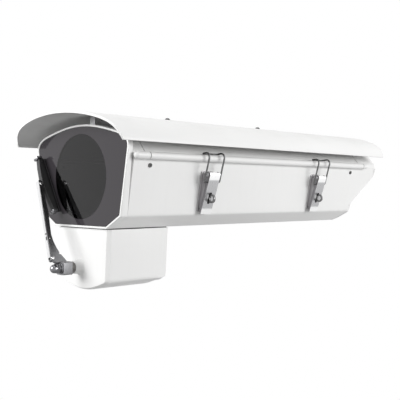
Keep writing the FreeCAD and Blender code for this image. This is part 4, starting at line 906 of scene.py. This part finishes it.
def makeRearCap():
    # a thick skin behind the folded side line, as wide as the tray and the lid at each height
    settings = {"thick": 3.0, "collarStart": 425.7, "lapStart": 414.0, "stepEnd": 429.0, "beadEnd": 433.0,
                "glandX": 26.0, "glandBore": 8.0, "glandPlace": (440.0, 43.5),
                "glandAxis": (0.0, 0.6247, -0.7809)}
    fold = roundCorners(np.array(lines["rearFold"]), 2.5, 4)[0]
    fold = fold[fold[:, 1] < 108.0]
    arch = smoothThrough(lines["lidArch"], 24)
    # more points up the back, where the width changes: at the tray's top, the lid's edge and along its arch
    heights = np.concatenate([[74.7, 74.95, lidEdge[1], 91.0], arch[1:-1, 1], [108.1]])
    fold = np.vstack([fold, np.stack([np.full(len(heights), rearY), heights], axis=-1)])
    fold = fold[np.argsort(fold[:, 1], kind="stable")]
    tray, height = np.array(lines["trayHalf"]), fold[:, 1]
    width = np.interp(height, tray[:, 1], tray[:, 0])
    flank = np.vstack([[(lidEdge[0], collar["low"]), lidEdge], arch])
    top = height > 74.8
    order = np.argsort(flank[:, 1])
    width[top] = np.interp(height[top], flank[order, 1], flank[order, 0])
    # each ring runs across the outer face and back across the inner one
    inner = offsetLine(fold, settings["thick"])
    across = np.linspace(-1.0, 1.0, 9) * width[:, None]
    y, yIn = fold[:, :1], np.minimum(inner[:, :1], fold[:, :1] - 0.5)
    z, zIn = fold[:, 1:], np.where(fold[:, 1:] > 66.0, fold[:, 1:], inner[:, 1:])
    parts = [loft(np.hstack([stackPoints(across, y, z), stackPoints(across[:, ::-1], yIn, zIn)]))]
    start = settings["collarStart"]
    laps = [(4.5, 7.0, settings["lapStart"], 466.0), (1.9, 6.8, start, settings["stepEnd"])]
    parts += collarParts(start, 467.0, laps) + beadParts(start, settings["beadEnd"], False, True)
    glands = [lathe(barrel(-9.0, 4.0, settings["glandBore"]), (x, *settings["glandPlace"]),
                    settings["glandAxis"], 32) for x in (-settings["glandX"], settings["glandX"])]
    addPiece("rear_cap_casting", parts, looks["capCoat"], stands=("rear_cap",), soft=0.4, cuts=glands)


def makeWiperBox():
    # a section with a curved bottom at stations along y, held within a side limit that grows with height
    settings = {"taper": 0.061, "boss": (-4.5, 0.0, -43.6), "bush": 6.25}
    low = [(47.9, -1.0), (47.9, -51.5), (45.2, -55.2), (41.5, -58.2), (36.0, -60.7), (28.0, -63.4),
           (19.8, -65.7), (10.0, -67.4), (0.0, -68.0)]
    curve = smoothThrough(mirrored(low[1:]), 41)
    side = np.array([(47.9, z) for z in np.linspace(-1.0, -49.0, 7)])
    section = np.vstack([side, curve, (side * (-1.0, 1.0))[::-1]])
    # station, side limit, lowest point, and how far the curved bottom is lifted there
    stations = [(3.6, 43.9, -68.0, 2.3), (3.75, 44.3, -68.0, 1.95), (4.1, 44.55, -68.0, 1.7),
                (6.9, 47.2, -68.0, 0.25), (7.3, 47.45, -68.0, 0.08), (7.9, 47.5, -68.0, 0.0),
                (48.0, 47.5, -68.0, 0.0), (76.0, 46.4, -68.0, 0.0), (78.2, 46.3, -66.0, 0.0),
                (84.0, 46.1, -60.6, 0.0), (88.2, 46.0, -56.2, 0.0), (90.2, 44.2, -52.0, 0.0),
                (90.9, 43.4, -50.6, 0.0), (91.2, 42.8, -49.6, 0.0)]
    y, half, floor, lift = np.array(stations).T[:, :, None]
    limit = half + settings["taper"] * section[:, 1]
    x = np.sign(section[:, 0]) * np.minimum(np.abs(section[:, 0]), limit)
    lifted = section[:, 1] + lift * np.clip((-49.0 - section[:, 1]) / 10.0, 0.0, 1.0)
    shell = loft(stackPoints(x, y, np.maximum(lifted, floor)))
    # the boss that the spindle's bush stands in
    boss = lathe([(7.0, 0.0), (7.0, 9.5), (3.6, 9.5), (2.6, 8.6), (1.6, 7.9), (-0.4, 7.4), (-4.4, 7.1),
                  (-5.2, 6.8), (-5.5, 6.3), (-5.5, 0.0)], settings["boss"], (0, 1, 0), 40)
    bush = [lathe(barrel(-8.0, 9.0, settings["bush"]), settings["boss"], (0, 1, 0), 36)]
    addPiece("wiper_box_casting", [shell, boss], looks["boxCoat"], stands=("wiper_box",),
             soft=0.35, cuts=bush, angle=36.0)


makeFrontFrame()
makeTray()
makeLid()
makeSunshield()
makeRail()
makeRearCap()
makeWiperBox()
print("stage: housing pieces made")


# latches

# s runs up along the leaning wall and d straight out of it, both from the reference point (x, z)
latch = {
    "ys": {"front": 117.5, "rear": 321.0}, "reference": (75.59, 40.0),
    "up": (0.17128, 0.98522), "out": (0.98522, -0.17128),
    "pivot": (20.35, 9.06), "bailPin": (11.80, 9.53), "half": 8.2, "gauge": 1.2,
    "low": (-25.0, 6.0), "roll": 4.5, "wire": 1.0, "bailHalf": 12.0,
}


def onWall(s, d):
    # point (x, z) at s up the wall and d out of it
    (x, z), up, out = latch["reference"], latch["up"], latch["out"]
    return x + s * up[0] + d * out[0], z + s * up[1] + d * out[1]


def wallSide(y):
    # outline in (along the wall, out of the wall), thickness along y
    def mapping(u, v, t):
        x, z = onWall(u, v)
        return stackPoints(x, t + y, z)
    return mapping


def wallFace(y):
    # outline in (along the wall, y), thickness out of the wall
    def mapping(u, v, t):
        x, z = onWall(u, t)
        return stackPoints(x, v + y, z)
    return mapping


def arcPoints(centre, radius, first, last, steps):
    # centre + radius * (cos, sin), from the first to the last angle in degrees
    turn = np.radians(np.linspace(first, last, steps))
    return np.stack([centre[0] + radius * np.cos(turn), centre[1] + radius * np.sin(turn)], axis=-1)


def wallRod(s, d, profile, y, steps=28):
    # a turned part along y
    x, z = onWall(s, d)
    return lathe(profile, (x, y, z), (0.0, 1.0, 0.0), steps)


def makeLatchBase(y, stands):
    # a plate on the wall and two cheeks that carry the pins
    plate = roundCorners(oblong(-23.0, 23.5, -9.5, 9.5), 2.2, 5, True)[0]
    parts = [slab(plate, wallFace(y), 0.0, 1.5)]
    cheek = roundCorners([(-20.0, 1.0), (-18.0, 4.4), (0.0, 7.6), (15.0, 10.6), (18.6, 11.6), (20.6, 11.7),
                          (22.4, 10.9), (23.0, 9.4), (22.8, 8.6), (18.6, 1.0)], 1.2, 3, True)[0]
    parts += slabPair(cheek, wallSide(y), 5.4, 6.6)
    addPiece(f"{stands}_pressing", parts, looks["baseSteel"], stands=(stands,), soft=0.28)


def makeStaple(y, stands):
    # a round eye on a leg; half is half its thickness
    s, d, outer, hole, half = -6.0, 12.6, 5.2, 3.1, 1.1
    disc = [(-half, 0.0), (-half, outer - 0.45), (-half + 0.13, outer - 0.13), (-half + 0.45, outer),
            (half - 0.45, outer), (half - 0.13, outer - 0.13), (half, outer - 0.45), (half, 0.0)]
    leg = [(s - 4.2, 1.5), (s + 4.2, 1.5), (s + 5.0, d - 1.0), (s - 5.0, d - 1.0)]
    parts = [wallRod(s, d, disc, y, 40), slab(leg, wallSide(y), -half, half)]
    addPiece(f"{stands}_eye", parts, looks["eyeSteel"], stands=(stands,), soft=0.22,
             cuts=[wallRod(s, d, barrel(-3.0, 3.0, hole), y, 40)])


def makeLever(y, stands, body):
    # a channel: its web rolls round the pivot, its two sides are flat, and the eye stands through a slot
    (a, b), (lowS, lowD), gauge, half = latch["pivot"], latch["low"], latch["gauge"], latch["half"]
    over = b + latch["roll"]
    rollOut = arcPoints((a, b), latch["roll"], 90.0, 45.0, 8)
    rollIn = arcPoints((a, b), latch["roll"] - gauge, 45.0, 90.0, 8)
    foot = [(lowS + 0.4, lowD - gauge), (lowS - 0.2, lowD - gauge + 0.5), (lowS, lowD)]
    web = np.vstack([foot, rollOut, rollIn])
    parts = [slab(web, wallSide(y), -half, half)]
    side = [(lowS, lowD), (a, over), (a + 3.18, b + 3.18), (a + 3.9, b), (a, b - 3.0),
            (10.8, 6.33), (5.8, 7.33), (lowS + 3.0, lowD - 2.6)]
    side = roundCorners(side, [0.5, 0.0, 1.5, 2.5, 2.5, 1.5, 1.5, 1.5], 4, True)[0]
    parts += slabPair(side, wallSide(y), half - gauge, half)
    slot = roundCorners(oblong(-13.0, 0.6, -2.2, 2.2), 2.0, 5, True)[0]
    lever = addPiece(f"{stands}_channel", parts, looks["highlitPressedSteel"], body, (stands,), soft=0.4,
                     cuts=[slab(slot, wallFace(y), 3.0, 16.0)], segments=3)
    # the channel's flat sides get the darker copy of its steel: painted shade
    paintFaces(lever, looks["leverSideShadeSteel"], lambda normals: np.abs(normals[:, 1]) > 0.7)


def makeBail(y, stands, body):
    # the wire: pin, leg, loop round the edge bead, bar behind the bead, and back again
    pin = onWall(*latch["bailPin"])
    x, z, reach = bead["x"], bead["z"], bead["radius"] + latch["wire"] + 0.4
    end = math.atan2(z - pin[1], x - pin[0]) + math.radians(15.0)
    bar = (x + reach * math.cos(end), z + reach * math.sin(end))
    loop = arcPoints((90.0, 77.8), 4.8, -16.0, 95.0, 12)
    half = latch["bailHalf"]
    line = np.vstack([[pin], loop, [bar]])
    leg = stackPoints(line[:, 0], half, line[:, 1])
    inner = np.array([[pin[0], 6.9, pin[1]]])
    middle = np.array([[bar[0], 0.0, bar[1]]])
    wire = roundCorners(np.vstack([inner, leg, middle]), [0.0, 1.8] + [0.0] * 11 + [1.2, 2.2, 0.0], 6)[0]
    other = (wire * (1.0, -1.0, 1.0))[::-1]
    path = np.vstack([wire, other[1:]]) + (0.0, y, 0.0)
    addPiece(f"{stands}_wire", [tube(path, latch["wire"], 14)], looks["wireSteel"], body, (stands,))


def makeLatchPins():
    # turned pins with low domed heads
    half = latch["half"]
    head = domeLine(half + 0.3, 1.0, 2.3, 6)
    profile = np.vstack([(head * (-1.0, 1.0))[::-1], [(-half - 0.3, 1.5), (half + 0.3, 1.5)], head])
    parts = [wallRod(*latch["pivot"], profile, y) for y in latch["ys"].values()]
    addPiece("latch_pins_turned", parts, looks["pinSteel"], stands=("latch_pins",), angle=40.0)


for place, y in latch["ys"].items():
    makeLatchBase(y, f"latch_base_{place}")
    makeStaple(y, f"padlock_staple_{place}")
    makeLever(y, f"latch_lever_{place}", f"lever_{place}")
    makeBail(y, f"latch_bail_{place}", f"bail_{place}")
makeLatchPins()
print("stage: latches made")


# wiper

# r runs along the arm from the spindle's axis (x, z), t across it; pairs below are (r, y)
wiper = {
    "axis": (-4.5, -43.6), "lean": 29.0, "clamp": -21.3, "pivot": (11.7, -28.6), "anchor": (14.2, -17.8),
    "springPin": (35.0, -25.2), "blade": (103.0, -15.2), "bladeHalf": 33.0, "armHalf": 2.9, "armGauge": 0.8,
    "line": [(13.2, -31.2), (50.0, -25.3), (107.0, -17.6)],
}


def armPoint(r, y, t):
    # r along the arm from the spindle, y as in the housing, t across the arm
    (x, z), lean = wiper["axis"], math.radians(wiper["lean"])
    return stackPoints(x + t * math.cos(lean) - r * math.sin(lean), y,
                       z + r * math.cos(lean) + t * math.sin(lean))


acrossArm = armPoint(0.0, 0.0, 1.0) - armPoint(0.0, 0.0, 0.0)


def armRod(r, y, profile, steps=24):
    # a turned part across the arm
    return lathe(profile, armPoint(r, y, 0.0), acrossArm, steps)


def rivet(shank, half, head, height):
    # profile with a low dome at both ends
    dome = domeLine(half, height, head, 6)
    return np.vstack([(dome * (-1.0, 1.0))[::-1], [(-half, shank), (half, shank)], dome])


def makeArm():
    # a channel whose face follows the arm's line, with two sides that widen towards the pivot
    half, gauge, line = wiper["armHalf"], wiper["armGauge"], wiper["line"]
    top = roundCorners(line, [0.0, 30.0, 0.0], 6)[0]
    web = np.vstack([top, (top + (0.0, 0.9))[::-1]])
    parts = [slab(web, armPoint, -half, half)]
    tip = 107.0
    lower = [(tip + 0.6, -16.4), (tip + 0.2, -14.0), (tip - 1.6, -13.4), (tip - 8.0, -13.4),
             (tip - 17.0, -15.2), (66.0, -17.0), (50.0, -20.2), (39.6, -22.0), (31.5, -21.9),
             (23.3, -20.3), (17.6, -18.4), (15.4, -20.0), (13.6, -24.0), (9.6, -26.4), (8.7, -28.8),
             (10.0, -31.0)]
    side = np.vstack([top, roundCorners(lower, [0.0, 0.8, 0.8] + [3.0] * 7 + [1.5] * 5 + [0.0], 3)[0]])
    parts += slabPair(side, armPoint, half - gauge, half)
    hole = lathe(barrel(-6.0, 3.0, 1.2), armPoint(41.3, -26.0, 0.0), (0, 1, 0), 20)
    slotLine = roundCorners(oblong(33.9, 38.5, -1.0, 1.0), 0.95, 5, True)[0]
    slot = slab(slotLine, lambda u, v, t: armPoint(u, t, v), -32.0, -24.0)
    arm = addPiece("wiper_arm_channel", parts, looks["armSteel"], "arm", ("wiper_arm",), soft=0.3,
                   cuts=[hole, slot])
    # the face keeps the bright steel; the flanges get a darker copy of it, a painted reflection of dark
    # surroundings
    paintFaces(arm, looks["flangeReflectionSteel"], lambda normals: normals[:, 1] > -0.7)


def makeSpring():
    # helix: centre line + radius (cos, sin) of the turn angle; its ends run out to hooks on the two pins
    settings = {"radius": 1.2, "wire": 0.3, "turns": 21, "steps": 14}
    anchor, pin = np.array(wiper["anchor"]), np.array(wiper["springPin"])
    reach = np.linalg.norm(pin - anchor)
    along = (pin - anchor) / reach
    side = np.array([-along[1], along[0]])
    turn = np.linspace(0.0, settings["turns"] * 2.0 * np.pi, settings["turns"] * settings["steps"])
    run = 4.2 + (reach - 8.6) * turn / turn[-1]
    flat = anchor + run[:, None] * along + (settings["radius"] * np.cos(turn))[:, None] * side
    coil = np.column_stack([flat, settings["radius"] * np.sin(turn)])
    hook = np.radians(np.linspace(-150.0, 90.0, 12))
    near = anchor + 1.5 * (np.cos(hook)[:, None] * -along + np.sin(hook)[:, None] * side)
    near = np.column_stack([near, np.zeros(12)])
    far = pin + 1.3 * (np.cos(hook[::-1])[:, None] * along + np.sin(hook[::-1])[:, None] * side)
    far = np.column_stack([far, np.zeros(12)])
    path = np.vstack([near, coil, far])
    coil = tube(armPoint(*path.T), settings["wire"], 7)
    addPiece("arm_spring_coil", [coil], looks["springSteel"], "arm", ("arm_spring",))


def makeWiperHead():
    # a clamp block on the spindle and a fork that holds the arm's pivot and the spring's anchor
    block = roundCorners(oblong(-6.5, 6.5, -7.1, 7.1), 1.6, 5, True)[0]
    x, z = wiper["axis"]
    parts = [slab(block + (x, z), acrossY, wiper["clamp"], -9.9)]
    tongue = [(4.0, -12.0), (4.0, -21.0), (6.3, -21.0), (6.3, -25.0), (9.9, -29.4), (13.4, -27.4),
              (15.2, -22.0), (16.2, -18.0), (15.6, -16.2), (13.9, -15.4), (8.0, -11.8)]
    tongue = roundCorners(tongue, [0.0, 0.4, 0.0, 1.0, 2.0, 2.0, 2.0, 1.0, 0.8, 0.8, 0.0], 4, True)[0]
    for ends in ((-1.8, -0.9), (0.9, 1.8)):
        parts.append(slab(tongue, armPoint, *ends))
    root = [(4.0, -12.0), (4.0, -21.0), (6.3, -21.0), (6.3, -25.0), (9.6, -28.8), (11.6, -26.0),
            (11.6, -14.2), (8.0, -11.8)]
    parts.append(slab(root, armPoint, -0.95, 0.95))
    parts.append(armRod(*wiper["anchor"], barrel(-1.8, 1.8, 0.8)))
    spindle = lathe(barrel(-24.0, -5.0, 4.0), (x, 0.0, z), (0, 1, 0), 32)
    addPiece("wiper_head_casting", parts, looks["headCast"], "wiper_hub", ("wiper_head",), soft=0.5,
             cuts=[spindle], segments=3)


def makeNut():
    # hexagon with turned corners, a neck and a dome
    x, z = wiper["axis"]
    front = wiper["clamp"]
    turn = np.radians(30.0 - wiper["lean"] + 60.0 * np.arange(6))
    # distance in front of the clamp block, and size of the hexagon there
    ahead, size = np.array([(6.6, 5.0), (6.2, 5.55), (5.8, 5.77), (1.9, 5.77), (1.3, 5.5)]).T[:, :, None]
    hexagon = loft(stackPoints(x + np.cos(turn) * size, front - ahead, z + np.sin(turn) * size))
    profile = np.vstack([[(5.0, 0.0), (5.0, 4.7)], domeLine(7.7, 4.7, 4.7, 14)])
    dome = lathe(profile, (x, front, z), (0.0, -1.0, 0.0), 40)
    addPiece("dome_nut_turned", [hexagon, dome], looks["nutSteel"], "wiper_hub", ("dome_nut",), angle=26.0)


def makeWasher():
    # a flat ring with chamfered edges, turned round the spindle's axis
    x, z = wiper["axis"]
    ahead, r = np.array([(0.0, 3.1), (0.0, 5.7), (0.25, 6.0), (0.95, 6.0), (1.2, 5.7), (1.2, 3.1)]).T
    turn = np.arange(44)[:, None] * 2.0 * np.pi / 44
    rings = stackPoints(x + r * np.cos(turn), wiper["clamp"] - ahead, z + r * np.sin(turn))
    addPiece("head_washer_stamped", [ringSweep(rings)], looks["nutSteel"], "wiper_hub",
             ("head_washer",))


def makePins():
    # rivets across the arm: its pivot, the blade's pin and the spring's
    half = wiper["armHalf"]
    # place on the arm, body, and the rivet's shank, half length, head radius and head height
    pins = {
        "arm_pin": ("pivot", "wiper_hub", (1.2, half + 0.1, 1.9, 0.8)),
        "blade_pin": ("blade", "arm", (1.2, half, 2.0, 0.8)),
        "spring_pin": ("springPin", "arm", (0.8, half - 0.1, 0.8, 0.3)),
    }
    for name, (place, body, sizes) in pins.items():
        addPiece(f"{name}_rivet", [armRod(*wiper[place], rivet(*sizes))], looks["rivetSteel"], body, (name,),
                 angle=40.0)


def makeBlade():
    # the holder's bow, its saddle on the arm, the rubber and the end clips;
    # c is the blade's middle along the arm, h half its length
    c, h = wiper["blade"][0], wiper["bladeHalf"]
    crown = roundCorners([(c - h, -5.0), (c - h, -8.2), (c - 22, -10.6), (c - 9, -12.3), (c - 5, -12.6),
                          (c + 5, -12.6), (c + 9, -12.3), (c + 22, -10.6), (c + h, -8.2), (c + h, -5.0)],
                         [0.0, 1.5, 20, 8, 4, 4, 8, 20, 1.5, 0.0], 4, True)[0]
    parts = [slab(crown, armPoint, -3.2, 3.2),
             slab(oblong(c - h, c + h, -5.6, -4.4), armPoint, -3.2, 3.2)]
    saddle = roundCorners([(c - 5, -12.0), (c - 2.2, -15.8), (c - 1.0, -16.7), (c + 1.0, -16.7),
                           (c + 2.2, -15.8), (c + 5, -12.0)], [0.0, 1.0, 0.8, 0.8, 1.0, 0.0], 4, True)[0]
    parts.append(slab(saddle, armPoint, -1.8, 1.8))
    addPiece("blade_holder_bow", parts, looks["bladeBlack"], "blade", ("blade_holder",), soft=0.45)
    # the rubber: a flat back, a neck and a lip that thins towards the glass
    section = np.array([(-2.4, -4.4), (2.4, -4.4), (2.4, -3.4), (2.1, -2.9), (0.8, -2.8), (0.55, -2.1),
                        (0.7, -1.4), (0.45, -0.4), (0.2, 0.3), (-0.2, 0.3), (-0.45, -0.4), (-0.7, -1.4),
                        (-0.55, -2.1), (-0.8, -2.8), (-2.1, -2.9), (-2.4, -3.4)])
    ends = [armPoint(r, section[:, 1], section[:, 0]) for r in (c - h - 1.5, c + h + 1.5)]
    addPiece("blade_rubber_strip", [loft(ends)], looks["wiperRubber"], "blade", ("blade_rubber",), angle=50.0)
    back = [(-4.4, -4.5), (-4.4, -9.6), (-3.6, -10.9), (-2.6, -11.2), (-2.6, -9.6), (2.6, -9.6),
            (2.6, -11.2), (3.6, -10.9), (4.4, -9.6), (4.4, -4.5)]
    clips = []
    for side in (-1.0, 1.0):
        near, far = sorted((c + side * h, c + side * (h + 2.6)))
        clips.append(slab(back, lambda u, v, t: armPoint(t, v, u), near, far))
    addPiece("blade_clips_folded", clips, looks["clipBlack"], "blade", ("blade_clips",), soft=0.3)


makeArm()
makeSpring()
makeWiperHead()
makeNut()
makeWasher()
makePins()
makeBlade()
print("stage: wiper made")


# screws

def screwHead(centre, outward, radius, height, washer=0.0, washerRadius=0.0):
    # low domed head on a shank; the washer is a flat ring below it
    foot = [(-6.0, 0.0), (-6.0, 2.0), (0.0, 2.0)]
    if washer:
        foot += [(0.0, washerRadius - 0.25), (0.25, washerRadius), (washer - 0.25, washerRadius),
                 (washer, washerRadius - 0.25)]
    profile = np.vstack([foot, [(washer, radius)], domeLine(washer, height, radius, 8, 12.0)])
    return lathe(profile, centre, outward, 32)


def crossRecess(centre, outward, along, reach, top, depth):
    # two crossed wedges, narrower at their foot
    outward = np.asarray(outward, float) / np.linalg.norm(outward)
    along = np.asarray(along, float) / np.linalg.norm(along)
    other = np.cross(outward, along)
    parts = []
    for a, b in ((along, other), (other, along)):
        rings = []
        for height, share in ((top - depth, 0.35), (top + 0.4, 1.0)):
            corner = np.array(oblong(-reach, reach, -0.45, 0.45)) * (share, 1.0)
            middle = np.asarray(centre, float) + height * outward
            rings.append(middle + corner[:, :1] * a + corner[:, 1:] * b)
        parts.append(loft(rings))
    return parts


def makeShieldScrews():
    # domed heads on washers, each with a cross recess
    parts, cuts = [], []
    for y in shieldScrewY:
        foot = (0.0, y, shieldTop)
        parts.append(screwHead(foot, (0, 0, 1), radius=3.4, height=3.2, washer=1.5, washerRadius=4.6))
        cuts += crossRecess(foot, (0, 0, 1), (1, 1, 0), reach=2.2, top=4.7, depth=1.6)
    addPiece("shield_screws_domed", parts, looks["darkScrew"], "lid_group", ("shield_screws",), cuts=cuts)


def makeMotorScrews():
    # pan heads inside the box; the shanks end in its front wall
    profile = [(-1.6, 0.0), (-1.6, 1.6), (-1.2, 2.4), (-0.4, 2.8), (0.0, 2.8), (0.0, 1.5), (23.4, 1.5),
               (23.8, 1.2), (23.8, 0.0)]
    x, z = wiper["axis"]
    parts = [lathe(profile, (x + side, 28.0, z - 7.0), (0, -1, 0), 20) for side in (-13.0, 13.0)]
    addPiece("motor_screws_pan", parts, looks["screwSteel"], stands=("motor_screws",))


makeShieldScrews()
makeMotorScrews()
print("stage: screws made")


# camera, floor, light

def makeCamera():
    # a pinhole camera where the photograph was taken from; focal length and centre are in pixels
    settings = {"place": (0.650163, -0.693612, 0.040159), "yaw": 45.0, "pitch": 0.422, "roll": 0.309,
                "focal": 722.503, "centre": (200.479, 196.537), "size": 400.0}
    a, e, w = (math.radians(settings[k]) for k in ("yaw", "pitch", "roll"))
    back = Vector((math.sin(a) * math.cos(e), -math.cos(a) * math.cos(e), math.sin(e)))
    right = Vector((math.cos(a), math.sin(a), 0.0))
    up = back.cross(right)
    rolledRight = right * math.cos(w) + up * math.sin(w)
    rolledUp = up * math.cos(w) - right * math.sin(w)
    turn = Matrix((rolledRight, rolledUp, back)).transposed().to_4x4()
    data = bpy.data.cameras.new("photoCamera")
    data.sensor_width = 36.0
    data.lens = settings["focal"] * 36.0 / settings["size"]
    data.shift_x = (settings["size"] / 2.0 - settings["centre"][0]) / settings["size"]
    data.shift_y = (settings["centre"][1] - settings["size"] / 2.0) / settings["size"]
    data.clip_start, data.clip_end = 0.05, 50.0
    data.dof.use_dof = False
    camera = bpy.data.objects.new("photoCamera", data)
    camera.matrix_world = Matrix.Translation(Vector(settings["place"])) @ turn
    scene.collection.objects.link(camera)
    scene.camera = camera


def makeFloor():
    # a pale disc that fades to plain white for the camera; other rays see a greyer floor
    settings = {"height": -0.46, "radius": 0.72, "fade": (0.42, 0.70), "bounce": (0.46, 0.46, 0.46)}
    turn = np.arange(96) * 2.0 * np.pi / 96
    r = settings["radius"] * np.array([[0.0], [0.45], [1.0]])
    points, faces = loft(stackPoints(r * np.cos(turn), r * np.sin(turn), settings["height"]), capped=False)
    mesh = bpy.data.meshes.new("studioFloor")
    mesh.from_pydata(points.tolist(), [], faces)
    floor = bpy.data.objects.new("studioFloor", mesh)
    material, nodes, links, shader = newMaterial("paleStudioFloor")
    place = objectPlace(nodes)
    flat = vectorMath(nodes, links, "MULTIPLY", place, (1.0, 1.0, 0.0))
    length = vectorMath(nodes, links, "LENGTH", flat.outputs["Vector"])
    fade = mapRange(nodes, links, length.outputs["Value"], *settings["fade"])
    grain = noiseNode(nodes, links, place, 60.0, 4.0, 0.5)
    ray = nodes.new("ShaderNodeLightPath")
    pale = mixColour(nodes, links, grain.outputs["Fac"], (0.86, 0.86, 0.86), (0.90, 0.90, 0.90))
    setSurface(links, shader,
               mixColour(nodes, links, ray.outputs["Is Camera Ray"], settings["bounce"], pale), 0.9)
    glow = nodes.new("ShaderNodeEmission")
    glow.inputs["Strength"].default_value = 1.0
    seen = mathNode(nodes, links, "MULTIPLY", fade, ray.outputs["Is Camera Ray"])
    blendShaders(nodes, links, seen, shader.outputs["BSDF"], glow.outputs["Emission"], "Material Output")
    mesh.materials.append(material)
    scene.collection.objects.link(floor)


def makeWorld():
    # the camera and mirror-like rays see plain white; the rest get a soft grey sky
    world = bpy.data.worlds.new("whiteStudio")
    scene.world = world
    world.use_nodes = True
    nodes, links = world.node_tree.nodes, world.node_tree.links
    sky = nodes["Background"]
    sky.inputs["Color"].default_value = (1.0, 1.0, 1.0, 1.0)
    sky.inputs["Strength"].default_value = 0.36
    seen = nodes.new("ShaderNodeBackground")
    seen.inputs["Color"].default_value = (1.0, 1.0, 1.0, 1.0)
    seen.inputs["Strength"].default_value = 1.0
    ray = nodes.new("ShaderNodeLightPath")
    mirror = mathNode(nodes, links, "MAXIMUM", ray.outputs["Is Camera Ray"], ray.outputs["Is Glossy Ray"])
    blendShaders(nodes, links, mirror, sky.outputs["Background"], seen.outputs["Background"], "World Output")


def areaLight(name, place, target, size, power):
    data = bpy.data.lights.new(name, "AREA")
    data.shape, data.size, data.size_y, data.energy = "RECTANGLE", size[0], size[1], power
    lamp = bpy.data.objects.new(name, data)
    lamp.location = place
    lamp.rotation_mode = "QUATERNION"
    lamp.rotation_quaternion = (Vector(target) - Vector(place)).to_track_quat("-Z", "Y")
    scene.collection.objects.link(lamp)


lamps = {
    # place, the point it faces, width and height, and watts
    "frontSoftbox": ((-0.55, -1.7, 0.68), (0.0, -0.15, 0.0), (1.3, 1.0), 37.0),
    "sideSoftbox": ((1.75, 0.60, 0.42), (0.0, 0.05, 0.04), (1.1, 0.8), 25.5),
    "topSoftbox": ((0.3, -0.1, 1.7), (0.0, 0.0, 0.05), (1.2, 1.2), 6.0),
}
makeCamera()
makeFloor()
makeWorld()
for name, values in lamps.items():
    areaLight(name, *values)
scene.view_settings.view_transform = "Standard"
print("stage: camera, floor and light")
